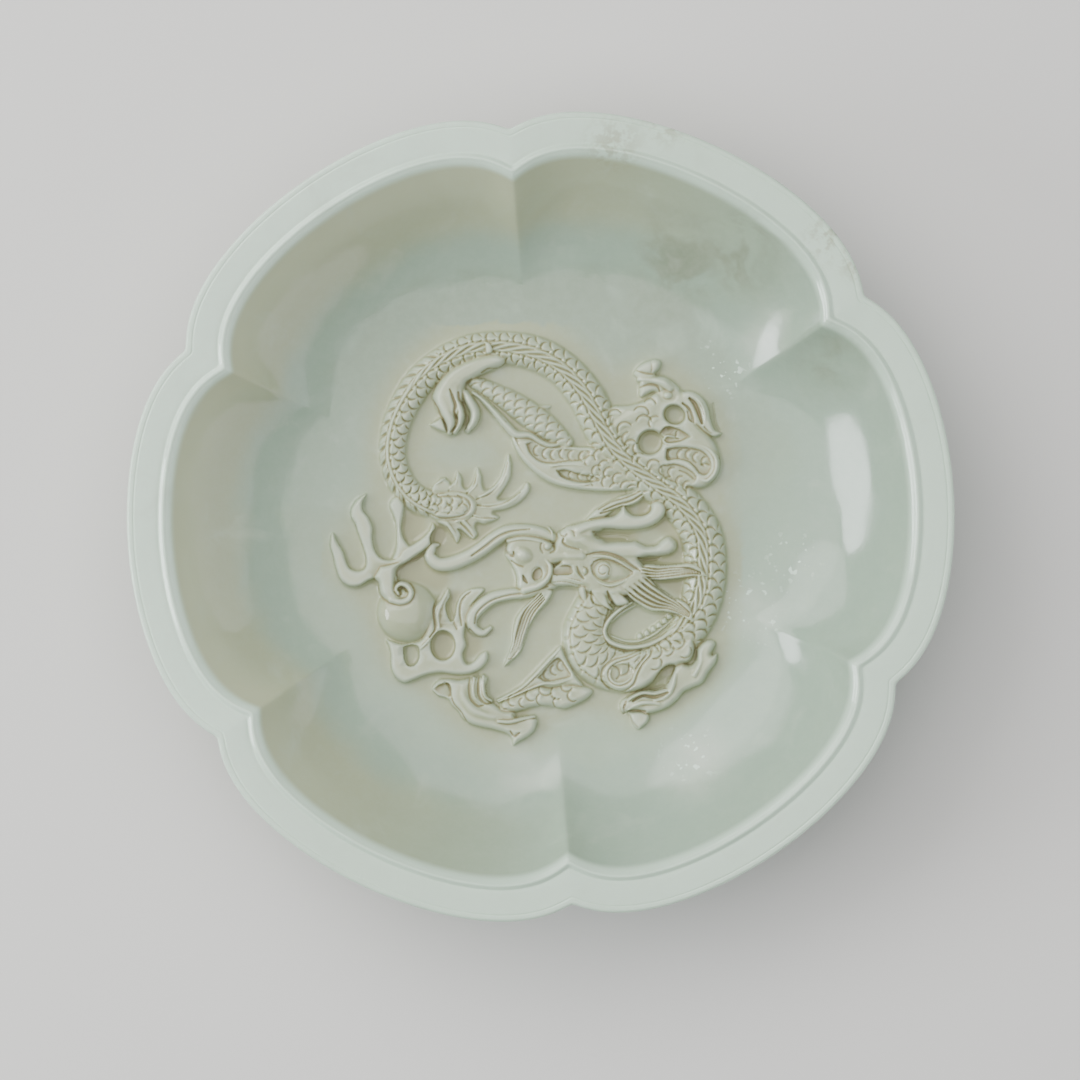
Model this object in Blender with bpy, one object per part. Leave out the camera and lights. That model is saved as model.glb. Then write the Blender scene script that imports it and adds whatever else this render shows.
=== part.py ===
"""A six-lobed jade saucer on a low foot, with a dragon and a flaming pearl carved in high relief on its floor.

The saucer is one piece of stone. The dish grows ring by ring from a disc under it, each ring extruded and
set on a lobed outline. The figures are swept and domed forms that a Boolean union makes one with the dish.
Metres, +Z up, with the origin under the middle of the foot.
"""

import math

import bmesh
import bpy
from mathutils import Vector

MM = 0.001

# Mouth and rim
LENGTH = 182.2 * MM          # over two opposite lobes, along X
BREADTH = 180.2 * MM         # over two lobes, if one lay along Y
LOBES = 6
FIRST_NOTCH = math.radians(34.6)
NOTCH_DEPTH = 4.4 * MM       # how far the rim steps in between two lobes
RIDGE_DEPTH = 6.0 * MM       # how far the petal ridges stand into the hollow
RIM_BREADTH = 8.8 * MM       # from the outer edge to the hollow, with the bead
RIM_THICKNESS = 2.4 * MM
RIM_FALL = 0.8 * MM          # the flat rim falls this much towards the bead
EDGE_ROUNDING = 0.7 * MM
BEAD_BREADTH = 1.9 * MM      # the raised line round the hollow's mouth
BEAD_HEIGHT = 0.5 * MM

# Hollow and wall
CAVITY_DEPTH = 20.5 * MM
FLOOR_RADIUS = 43.0 * MM
FLOOR_THICKNESS = 4.8 * MM
WALL_AT_RIM = 3.0 * MM
CAVITY_CURVE = 2.4           # 1 is a cone, and higher is a flatter floor with a steeper wall

# Foot
FOOT_RADIUS = 47.0 * MM
FOOT_WIDTH = 4.6 * MM
FOOT_HEIGHT = 4.0 * MM
FOOT_DRAFT = 0.8 * MM
FOOT_NOTCH = 2.2 * MM

# How finely the rings are divided
STEPS_PER_LOBE = 16
NOTCH_CROWDING = 1.5         # above 1, points draw together towards the notches
WALL_RINGS = 6
RIM_SHARPNESS = 5.5          # the power that squares a lobe's shoulders
FLOOR_SHARPNESS = 3.0

# The relief: its own size, and where it stands on the photograph's grid
RELIEF_WIDTH = 90.2 * MM
RELIEF_WIDTH_PX = 410.0
MIDDLE_PX = (540.7, 516.7)
SUNK_SHARE = 0.45            # how much of a form's height goes on below the floor
ROUTE_STEPS = 3              # points in each span of a route
PIXEL = RELIEF_WIDTH / RELIEF_WIDTH_PX

FIRST_OUTER_RING = 2         # the first wall ring that stands clear of the foot

FLOOR_TOP = FOOT_HEIGHT + FLOOR_THICKNESS
RIM_TOP = FLOOR_TOP + CAVITY_DEPTH + RIM_FALL
OVAL = LENGTH / BREADTH
LOBE_RADIUS = BREADTH / 2
MOUTH_RADIUS = LOBE_RADIUS - RIM_BREADTH

# How high each kind of form stands above the floor at its widest
BODY_CREST = 3.5 * MM
LEG_CREST = 3.1 * MM
PAW_CREST = 4.4 * MM
HEAD_CREST = 4.6 * MM
HORN_CREST = 3.6 * MM
HAIR_CREST = 2.4 * MM
WHISKER_CREST = 2.5 * MM
FIN_CREST = 1.7 * MM
FLAME_CREST = 2.7 * MM
PEARL_CREST = 4.0 * MM

# Routes: (x, y, half width) in the photograph's pixels, from the tail or the root outwards
BODY = [
    (468, 506, 9), (440, 506, 14), (414, 498, 14), (399, 480, 14), (391, 455, 14), (394, 427, 14.5),
    (404, 402, 15), (420, 378, 15), (443, 360, 15.5), (472, 348, 16), (505, 346, 17), (537, 352, 17.5),
    (563, 367, 17.5), (584, 391, 18), (599, 419, 19), (617, 449, 20), (645, 476, 21), (677, 500, 21),
    (698, 528, 21), (707, 560, 21), (704, 592, 20), (696, 618, 19), (681, 642, 19), (655, 662, 20),
    (624, 671, 22), (596, 662, 24), (586, 640, 24), (592, 614, 20), (604, 594, 18),
]
HIND_LEG_NEAR = [(484, 382, 8), (503, 403, 11), (524, 430, 14), (550, 454, 19), (588, 468, 22), (632, 476, 18)]
HIND_PAW_NEAR = [(494, 358, 7), (470, 366, 14), (453, 384, 17), (447, 404, 16), (448, 420, 13), (452, 432, 5)]
HIND_CLAWS_NEAR = [
    [(440, 412, 7), (436, 422, 7), (429, 426, 3)],
    [(462, 408, 7), (468, 420, 7), (466, 429, 3)],
]
HIND_LEG_FAR = [(640, 462, 12), (668, 462, 14), (696, 462, 18), (703, 446, 12), (684, 428, 11), (658, 412, 13),
                (630, 416, 12)]
HIND_SHIN_FAR = [(655, 412, 10), (664, 397, 9), (668, 386, 8), (650, 378, 6), (641, 369, 5), (656, 362, 4)]
HIND_PAW_FAR = [(670, 392, 7), (686, 394, 7), (700, 406, 8), (709, 422, 7), (721, 433, 4)]
FORE_LEG_NEAR = [(586, 688, 12), (556, 696, 14), (526, 702, 11), (500, 710, 12), (478, 712, 13), (462, 702, 9),
                 (452, 687, 4)]
FORE_CLAWS_NEAR = [
    [(490, 716, 9), (514, 726, 8), (533, 723, 4)],
    [(500, 720, 9), (516, 733, 8), (514, 743, 3)],
    [(478, 706, 6), (474, 692, 6), (476, 679, 3)],
    [(492, 706, 6), (486, 692, 5), (483, 680, 3)],
]
FORE_STREAMER = [(566, 668, 12), (550, 672, 10), (528, 686, 5), (503, 698, 3)]
FORE_LEG_FAR = [(624, 672, 20), (652, 664, 12), (676, 648, 12), (683, 632, 10)]
FORE_SHIN_FAR = [(682, 652, 8), (688, 668, 9), (684, 684, 12), (666, 699, 12), (644, 704, 10), (630, 712, 8),
                 (640, 728, 5)]
FORE_CLAW_FAR = [(690, 678, 9), (704, 662, 9), (714, 648, 6)]
UPPER_HORN = [(580, 534, 12), (602, 528, 9), (630, 522, 8), (652, 517, 8), (662, 508, 7), (655, 502, 4)]
LOWER_HORN = [(590, 546, 11), (618, 547, 10), (642, 548, 9), (662, 549, 9), (673, 545, 8)]
CREST_HAIR = [(586, 520, 8), (606, 511, 9), (628, 501, 7), (648, 489, 4)]
CHEEK_HAIR = [
    [(622, 574, 11), (650, 572, 9), (684, 571, 7), (708, 578, 3)],
    [(618, 586, 10), (640, 598, 10), (662, 607, 7), (690, 616, 3)],
]
BEARD = [(548, 594, 5), (535, 606, 9), (521, 624, 9), (519, 644, 7), (508, 664, 3)]
UPPER_WHISKER = [(548, 538, 7), (524, 530, 7), (500, 537, 8), (482, 550, 8), (464, 562, 8), (444, 566, 8),
                 (431, 559, 7), (434, 548, 5)]
LOWER_WHISKER = [(550, 585, 6), (522, 593, 6), (496, 598, 6), (479, 606, 6), (472, 619, 6), (479, 630, 5),
                 (489, 631, 3)]
TAIL_RAYS = [
    [(472, 503, 7), (494, 492, 5), (505, 473, 5), (508, 453, 2)],
    [(472, 508, 8), (502, 506, 6), (518, 497, 5), (527, 485, 2)],
    [(466, 512, 8), (484, 515, 5), (498, 513, 2)],
    [(455, 518, 8), (464, 527, 6), (472, 535, 2)],
    [(436, 518, 8), (446, 527, 6), (453, 540, 2)],
    [(462, 492, 6), (472, 482, 4), (477, 468, 2)],
    [(446, 492, 6), (453, 483, 4), (456, 471, 2)],
]
UPPER_FLAME = [
    [(404, 598, 8), (392, 601, 8), (386, 589, 9), (385, 570, 12), (374, 557, 12), (366, 536, 8), (355, 517, 7),
     (357, 504, 6), (365, 495, 3)],
    [(384, 570, 11), (366, 572, 9), (348, 577, 8), (336, 566, 8), (334, 550, 6), (330, 538, 3)],
    [(380, 566, 12), (400, 557, 10), (418, 546, 10), (432, 535, 6)],
    [(402, 552, 7), (399, 535, 7), (395, 518, 5)],
]
LOWER_FLAME = [
    [(394, 644, 5), (394, 660, 7), (402, 673, 8), (424, 669, 7), (448, 667, 8), (470, 668, 7), (484, 657, 4)],
    [(450, 590, 5), (444, 606, 8), (442, 622, 9), (455, 638, 9), (456, 654, 7), (452, 668, 6)],
    [(466, 594, 5), (458, 608, 7), (454, 626, 8), (456, 642, 6)],
    [(436, 632, 3), (424, 645, 4), (416, 662, 6)],
]

# Domes: (x, y, half length, half breadth, turn in degrees) in the same pixels
SKULL = (596, 566, 32, 24, 20)
MUZZLE = (560, 562, 30, 17, 8)
NOSE = (524, 556, 17, 15, 35)
CHIN = (566, 588, 24, 8, -4)
HAUNCH = (612, 470, 30, 20, 12)
PEARL = (404, 614, 31, 31, 0)


def clear_scene():
    for obj in list(bpy.data.objects):
        bpy.data.objects.remove(obj)


def collection(name):
    made = bpy.data.collections.new(name)
    bpy.context.scene.collection.children.link(made)
    return made


def jade():
    material = bpy.data.materials.new("pale_celadon_jade")
    material.use_nodes = True
    shader = material.node_tree.nodes["Principled BSDF"]
    shader.inputs["Base Color"].default_value = (0.42, 0.47, 0.41, 1.0)
    shader.inputs["Roughness"].default_value = 0.3
    shader.inputs["Metallic"].default_value = 0.0
    return material


def lobe_place(angle):
    """Where an angle lies in its lobe: 0 in the middle, 1 at the notches."""
    turn = 2 * math.pi / LOBES
    return abs(((angle - FIRST_NOTCH) % turn) / turn * 2 - 1)


def ring(radius, height, notch=0.0, sharpness=RIM_SHARPNESS):
    """One closed lobed outline. More of its points stand near the notches than in the middle of a lobe."""
    points = []
    for step in range(LOBES * STEPS_PER_LOBE):
        lobe, part = divmod(step, STEPS_PER_LOBE)
        even = part / STEPS_PER_LOBE * 2 - 1
        place = math.copysign(1 - (1 - abs(even)) ** NOTCH_CROWDING, even)
        angle = FIRST_NOTCH + (lobe + (place + 1) / 2) * 2 * math.pi / LOBES
        r = radius - notch * abs(place) ** sharpness
        points.append(Vector((r * math.cos(angle) * OVAL, r * math.sin(angle), height)))
    return points


def cavity_section():
    """(share up the wall, radius, height, slope) from the floor's edge to the mouth."""
    run = MOUTH_RADIUS - FLOOR_RADIUS
    section = []
    for i in range(WALL_RINGS + 1):
        share = i / WALL_RINGS
        rise = CAVITY_DEPTH * share ** CAVITY_CURVE
        slope = math.atan(CAVITY_CURVE * CAVITY_DEPTH * share ** (CAVITY_CURVE - 1) / run)
        section.append((share, FLOOR_RADIUS + run * share, FLOOR_TOP + rise, slope))
    return section


def ridge_at(share):
    """How far a petal ridge stands in at a share of the way up the wall. It fades out on the floor."""
    return RIDGE_DEPTH * math.sqrt(share)


def sharpness_at(share):
    return FLOOR_SHARPNESS + (RIM_SHARPNESS - FLOOR_SHARPNESS) * share


def foot_rings():
    """From the edge of the recess under the dish, over the foot, to the foot's outer side."""
    foot_inside = FOOT_RADIUS - FOOT_WIDTH
    return [
        ring(foot_inside - FOOT_DRAFT, FOOT_HEIGHT, FOOT_NOTCH, FLOOR_SHARPNESS),
        ring(foot_inside, 0.0, FOOT_NOTCH, FLOOR_SHARPNESS),
        ring(FOOT_RADIUS, 0.0, FOOT_NOTCH, FLOOR_SHARPNESS),
        ring(FOOT_RADIUS + FOOT_DRAFT, FOOT_HEIGHT, FOOT_NOTCH, FLOOR_SHARPNESS),
    ]


def wall_rings():
    """The outside of the wall, its own thickness away from the hollow, from the foot up."""
    rings = []
    for share, radius, height, slope in cavity_section()[FIRST_OUTER_RING:]:
        wall = FLOOR_THICKNESS + (WALL_AT_RIM - FLOOR_THICKNESS) * share
        rings.append(ring(radius + wall * math.sin(slope), height - wall * math.cos(slope),
                          ridge_at(share), sharpness_at(share)))
    return rings


def rim_rings():
    """Up round the outer edge, across the flat rim and over the bead."""
    bead_foot = MOUTH_RADIUS + BEAD_BREADTH
    return [
        ring(LOBE_RADIUS - EDGE_ROUNDING, RIM_TOP - RIM_THICKNESS, NOTCH_DEPTH),
        ring(LOBE_RADIUS, RIM_TOP - RIM_THICKNESS + EDGE_ROUNDING, NOTCH_DEPTH),
        ring(LOBE_RADIUS, RIM_TOP - EDGE_ROUNDING, NOTCH_DEPTH),
        ring(LOBE_RADIUS - EDGE_ROUNDING, RIM_TOP, NOTCH_DEPTH),
        ring(bead_foot, RIM_TOP - RIM_FALL, RIDGE_DEPTH),
        ring(MOUTH_RADIUS + BEAD_BREADTH / 2, RIM_TOP - RIM_FALL + BEAD_HEIGHT, RIDGE_DEPTH),
    ]


def hollow_rings():
    """The inside of the wall, from the mouth down to the edge of the floor."""
    return [
        ring(radius, height, ridge_at(share), sharpness_at(share))
        for share, radius, height, _ in reversed(cavity_section())
    ]


def dish(name, group):
    """A disc whose edge is extruded through every ring, and closed by the floor."""
    rings = [*foot_rings(), *wall_rings(), *rim_rings(), *hollow_rings()]
    mesh = bmesh.new()
    disc = bmesh.ops.create_circle(mesh, cap_ends=True, segments=len(rings[0]), radius=FOOT_RADIUS)
    row = disc["verts"]
    edges = list(mesh.edges)
    for vertex, point in zip(row, rings[0]):
        vertex.co = point
    for points in rings[1:]:
        turned = {vertex: point for vertex, point in zip(row, points)}
        grown = bmesh.ops.extrude_edge_only(mesh, edges=edges)["geom"]
        edges = [part for part in grown if isinstance(part, bmesh.types.BMEdge)]
        fresh = [part for part in grown if isinstance(part, bmesh.types.BMVert)]
        before = {new: next(edge.other_vert(new) for edge in new.link_edges if edge not in edges)
                  for new in fresh}
        for new, old in before.items():
            new.co = turned[old]
        behind = {old: new for new, old in before.items()}
        row = [behind[vertex] for vertex in row]
    bmesh.ops.contextual_create(mesh, geom=edges)
    bmesh.ops.recalc_face_normals(mesh, faces=mesh.faces)
    data = bpy.data.meshes.new(name)
    mesh.to_mesh(data)
    mesh.free()
    obj = bpy.data.objects.new(name, data)
    group.objects.link(obj)
    return obj


def spot(x_px, y_px):
    """A place on the floor, from the photograph's grid."""
    return (x_px - MIDDLE_PX[0]) * PIXEL, (MIDDLE_PX[1] - y_px) * PIXEL


def smooth_route(points):
    """Points on a smooth curve through the route's own points, with the half width carried along."""
    ends = [points[0], *points, points[-1]]
    found = []
    for before, start, end, after in zip(ends, ends[1:], ends[2:], ends[3:]):
        for step in range(ROUTE_STEPS):
            t = step / ROUTE_STEPS
            found.append([
                0.5 * (2 * b + (c - a) * t + (2 * a - 5 * b + 4 * c - d) * t * t
                       + (3 * b - a - 3 * c + d) * t ** 3)
                for a, b, c, d in zip(before, start, end, after)
            ])
    return [*found, points[-1]]


def rest_on_floor(obj, crest, widest):
    """Gives a round form its height above the floor, and less below it."""
    for vertex in obj.data.vertices:
        z = vertex.co.z / widest * crest
        vertex.co.z = FLOOR_TOP + (z if z > 0 else z * SUNK_SHARE)
    obj.hide_render = True
    obj.display_type = "WIRE"


def swept(name, route, crest, group, sides=1):
    """A round form along a route, at its full height where the route is widest."""
    curve = bpy.data.curves.new(name, "CURVE")
    curve.dimensions = "3D"
    curve.bevel_depth = 1.0
    curve.bevel_resolution = sides
    curve.use_fill_caps = True
    points = smooth_route(route)
    spline = curve.splines.new("POLY")
    spline.points.add(len(points) - 1)
    for point, (x_px, y_px, half_px) in zip(spline.points, points):
        point.co = (*spot(x_px, y_px), 0.0, 1.0)
        point.radius = half_px * PIXEL
    guide = bpy.data.objects.new(name + "_route", curve)
    group.objects.link(guide)
    bpy.context.view_layer.update()
    data = bpy.data.meshes.new_from_object(guide.evaluated_get(bpy.context.evaluated_depsgraph_get()))
    bpy.data.objects.remove(guide)
    welded = bmesh.new()
    welded.from_mesh(data)
    bmesh.ops.remove_doubles(welded, verts=welded.verts, dist=MM / 1000)
    bmesh.ops.recalc_face_normals(welded, faces=welded.faces)
    welded.to_mesh(data)
    welded.free()
    obj = bpy.data.objects.new(name, data)
    group.objects.link(obj)
    rest_on_floor(obj, crest, max(half for _, _, half in route) * PIXEL)
    return obj


def dome(name, place, crest, group, segments=14, rings=8):
    """A rounded mass, longer one way than the other."""
    x_px, y_px, long_px, broad_px, turn = place
    mesh = bmesh.new()
    bmesh.ops.create_uvsphere(mesh, u_segments=segments, v_segments=rings, radius=1.0)
    angle = math.radians(turn)
    x0, y0 = spot(x_px, y_px)
    for vertex in mesh.verts:
        u, v = vertex.co.x * long_px * PIXEL, vertex.co.y * broad_px * PIXEL
        vertex.co.x = x0 + u * math.cos(angle) - v * math.sin(angle)
        vertex.co.y = y0 + u * math.sin(angle) + v * math.cos(angle)
    data = bpy.data.meshes.new(name)
    mesh.to_mesh(data)
    mesh.free()
    obj = bpy.data.objects.new(name, data)
    group.objects.link(obj)
    rest_on_floor(obj, crest, 1.0)
    return obj


def carve_dragon(group):
    swept("body", BODY, BODY_CREST, group, sides=2)
    swept("hind_leg_near", HIND_LEG_NEAR, LEG_CREST, group)
    swept("hind_paw_near", HIND_PAW_NEAR, PAW_CREST, group)
    for i, claw in enumerate(HIND_CLAWS_NEAR):
        swept(f"hind_claw_near_{i}", claw, LEG_CREST, group)
    swept("hind_leg_far", HIND_LEG_FAR, LEG_CREST, group)
    swept("hind_shin_far", HIND_SHIN_FAR, LEG_CREST, group)
    swept("hind_paw_far", HIND_PAW_FAR, LEG_CREST, group)
    swept("fore_leg_near", FORE_LEG_NEAR, LEG_CREST, group)
    for i, claw in enumerate(FORE_CLAWS_NEAR):
        swept(f"fore_claw_near_{i}", claw, HAIR_CREST, group)
    swept("fore_streamer", FORE_STREAMER, HAIR_CREST, group)
    swept("fore_leg_far", FORE_LEG_FAR, PAW_CREST, group)
    swept("fore_shin_far", FORE_SHIN_FAR, LEG_CREST, group)
    swept("fore_claw_far", FORE_CLAW_FAR, LEG_CREST, group)
    dome("haunch", HAUNCH, LEG_CREST, group)
    for i, ray in enumerate(TAIL_RAYS):
        swept(f"tail_ray_{i}", ray, FIN_CREST, group)


def carve_head(group):
    dome("skull", SKULL, HEAD_CREST, group)
    dome("muzzle", MUZZLE, HORN_CREST, group)
    dome("nose", NOSE, HORN_CREST, group)
    dome("chin", CHIN, LEG_CREST, group)
    swept("upper_horn", UPPER_HORN, HORN_CREST, group)
    swept("lower_horn", LOWER_HORN, HORN_CREST, group)
    swept("crest_hair", CREST_HAIR, HAIR_CREST, group)
    for i, lock in enumerate(CHEEK_HAIR):
        swept(f"cheek_hair_{i}", lock, HAIR_CREST, group)
    swept("beard", BEARD, HAIR_CREST, group)
    swept("upper_whisker", UPPER_WHISKER, WHISKER_CREST, group)
    swept("lower_whisker", LOWER_WHISKER, WHISKER_CREST, group)


def carve_pearl(group):
    dome("pearl", PEARL, PEARL_CREST, group, segments=20, rings=10)
    for i, tongue in enumerate(UPPER_FLAME):
        swept(f"upper_flame_{i}", tongue, FLAME_CREST, group)
    for i, tongue in enumerate(LOWER_FLAME):
        swept(f"lower_flame_{i}", tongue, FLAME_CREST, group)


def main():
    clear_scene()
    pieces = collection("jade_saucer")
    forms = collection("relief_forms")
    saucer = dish("saucer", pieces)
    carve_dragon(forms)
    carve_head(forms)
    carve_pearl(forms)
    union = saucer.modifiers.new("relief", "BOOLEAN")
    union.operation = "UNION"
    union.operand_type = "COLLECTION"
    union.collection = forms
    union.use_self = True
    saucer.data.materials.append(jade())


main()
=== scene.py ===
"""A six-lobed dish of pale jade, with a dragon and a flaming pearl carved in relief on its floor.

The dish grows from a sphere whose rings are laid on the saucer's own section, and the relief from a grid
that is carved in height. The two are then sewn into one closed stone.
"""

import math

import bmesh
import bpy
import numpy as np
from bpy.props import FloatProperty, FloatVectorProperty, PointerProperty
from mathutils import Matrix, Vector


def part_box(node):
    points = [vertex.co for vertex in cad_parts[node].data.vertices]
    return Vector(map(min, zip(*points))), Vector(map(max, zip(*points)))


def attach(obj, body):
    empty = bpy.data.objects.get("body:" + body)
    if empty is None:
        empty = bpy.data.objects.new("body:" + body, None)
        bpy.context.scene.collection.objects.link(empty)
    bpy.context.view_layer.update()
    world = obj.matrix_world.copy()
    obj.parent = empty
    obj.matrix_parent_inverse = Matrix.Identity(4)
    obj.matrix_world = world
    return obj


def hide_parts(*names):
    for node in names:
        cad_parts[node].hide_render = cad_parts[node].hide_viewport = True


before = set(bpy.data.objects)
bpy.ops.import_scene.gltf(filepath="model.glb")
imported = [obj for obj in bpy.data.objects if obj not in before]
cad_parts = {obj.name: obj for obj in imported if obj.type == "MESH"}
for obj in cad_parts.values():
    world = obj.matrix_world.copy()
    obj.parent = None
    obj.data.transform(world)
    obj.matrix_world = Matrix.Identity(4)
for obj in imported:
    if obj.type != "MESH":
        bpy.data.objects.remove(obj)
CAD_LOW, CAD_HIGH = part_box("saucer")
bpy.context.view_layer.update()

bl_info = {
    "name": "Carved jade saucer",
    "version": (1, 0, 0),
    "blender": (4, 5, 0),
    "location": "View3D > Sidebar > Saucer",
    "description": "Models a lobed jade dish with a dragon in relief, and its studio",
    "category": "Add Mesh",
}

MM = 0.001

# The photograph's own grid, in which the carver's routes are written
PHOTO_SIZE = 1080
DISH_MIDDLE_PX = (540.7, 516.7)
RELIEF_WIDTH_PX = 410.0
RELIEF_LEFT_PX, RELIEF_RIGHT_PX = 318, 746
RELIEF_TOP_PX, RELIEF_BOTTOM_PX = 322, 756

LOBES = 6
FIRST_NOTCH = math.radians(34.6)

# How finely the stone is modelled
SEGMENTS = 240
WALL_RINGS = 26
OUTSIDE_RINGS = 16
GRID_CELL_MM = 0.16
RELIEF_TRIANGLES = 149000
HALVINGS = 26
JOIN_SHARE = 0.3
JOIN_MARGIN = 0.006
FOOT_SHARE = 0.12

# Rings round the rim's turns and the unseen parts
OUTER_TURN, UNDER_TURN = 6, 5
UNDER_RIM_SHARES = (0.2, 0.4, 0.58)
RECESS_SHARES = (0.92, 0.8, 0.6, 0.4, 0.2)

# Shapes of the section that are not in the panel
NOTCH_CROWDING = 1.5
NOTCH_BLUNTNESS = 0.012
FLOOR_SHARPNESS = 3.0
RIM_SHARPNESS = 5.5
RIDGE_FADE = 1.6
LIP_LINE = 1.4 * MM
LINE_HALF = 0.22 * MM
LINE_DEPTH = 0.15 * MM
BEAD_GROOVE = 0.36 * MM
BEAD_GROOVE_DEPTH = 0.14 * MM
FOOT_SOFTNESS = 0.5 * MM

# The wheel's faint waves on the floor: direction, length in millimetres and start
TOOL_WAVES = [(0.3, 3.7, 0.0), (1.4, 4.6, 1.1), (2.3, 3.1, 2.4), (2.9, 5.3, 0.7)]
TOOL_DEPTH_MM = 0.007

# Places on the dish in millimetres: x, y and reach. The pale patches are partly painted sheen, and the
# flecks are painted glints
PALE_AND_SHEEN_PATCHES_MM = [(-2.8, -58.0, 13.0), (34.0, -55.5, 14.0), (47.0, -21.0, 9.0), (50.0, 40.0, 8.0)]
GREY_CLOUD_MM = [(30.6, 56.0, 17.0), (44.0, 58.0, 14.0), (64.0, 35.0, 12.0)]
GLINT_FLECK_PLACES_MM = [(47.0, -20.5, 11.0), (56.0, -9.0, 8.0), (40.0, 33.0, 9.0), (33.0, -53.0, 9.0)]
RIM_WEAR_MM = [(16.1, 82.0, 9.0), (63.2, 61.5, 8.0), (27.8, 86.4, 7.0), (69.0, 55.0, 5.0)]


# The saucer's section and outline

def smoothstep(low, high, value):
    """Runs smoothly from 0 to 1 as a value goes from low to high."""
    t = np.clip((value - low) / (high - low), 0.0, 1.0)
    return t * t * (3.0 - 2.0 * t)


def bump(value, middle, half):
    """A smooth hump of height 1 about a middle, nothing beyond its half width."""
    return np.clip(1.0 - ((value - middle) / half) ** 2, 0.0, 1.0) ** 2


def lobe_place(angle):
    """Where an angle lies in its lobe: 0 in the middle, 1 at the notches, which are a little blunt."""
    turn = 2 * math.pi / LOBES
    even = np.abs(np.mod(angle - FIRST_NOTCH, turn) / turn * 2 - 1)
    return 1.0 + NOTCH_BLUNTNESS - np.sqrt((1.0 - even) ** 2 + NOTCH_BLUNTNESS ** 2)


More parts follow.
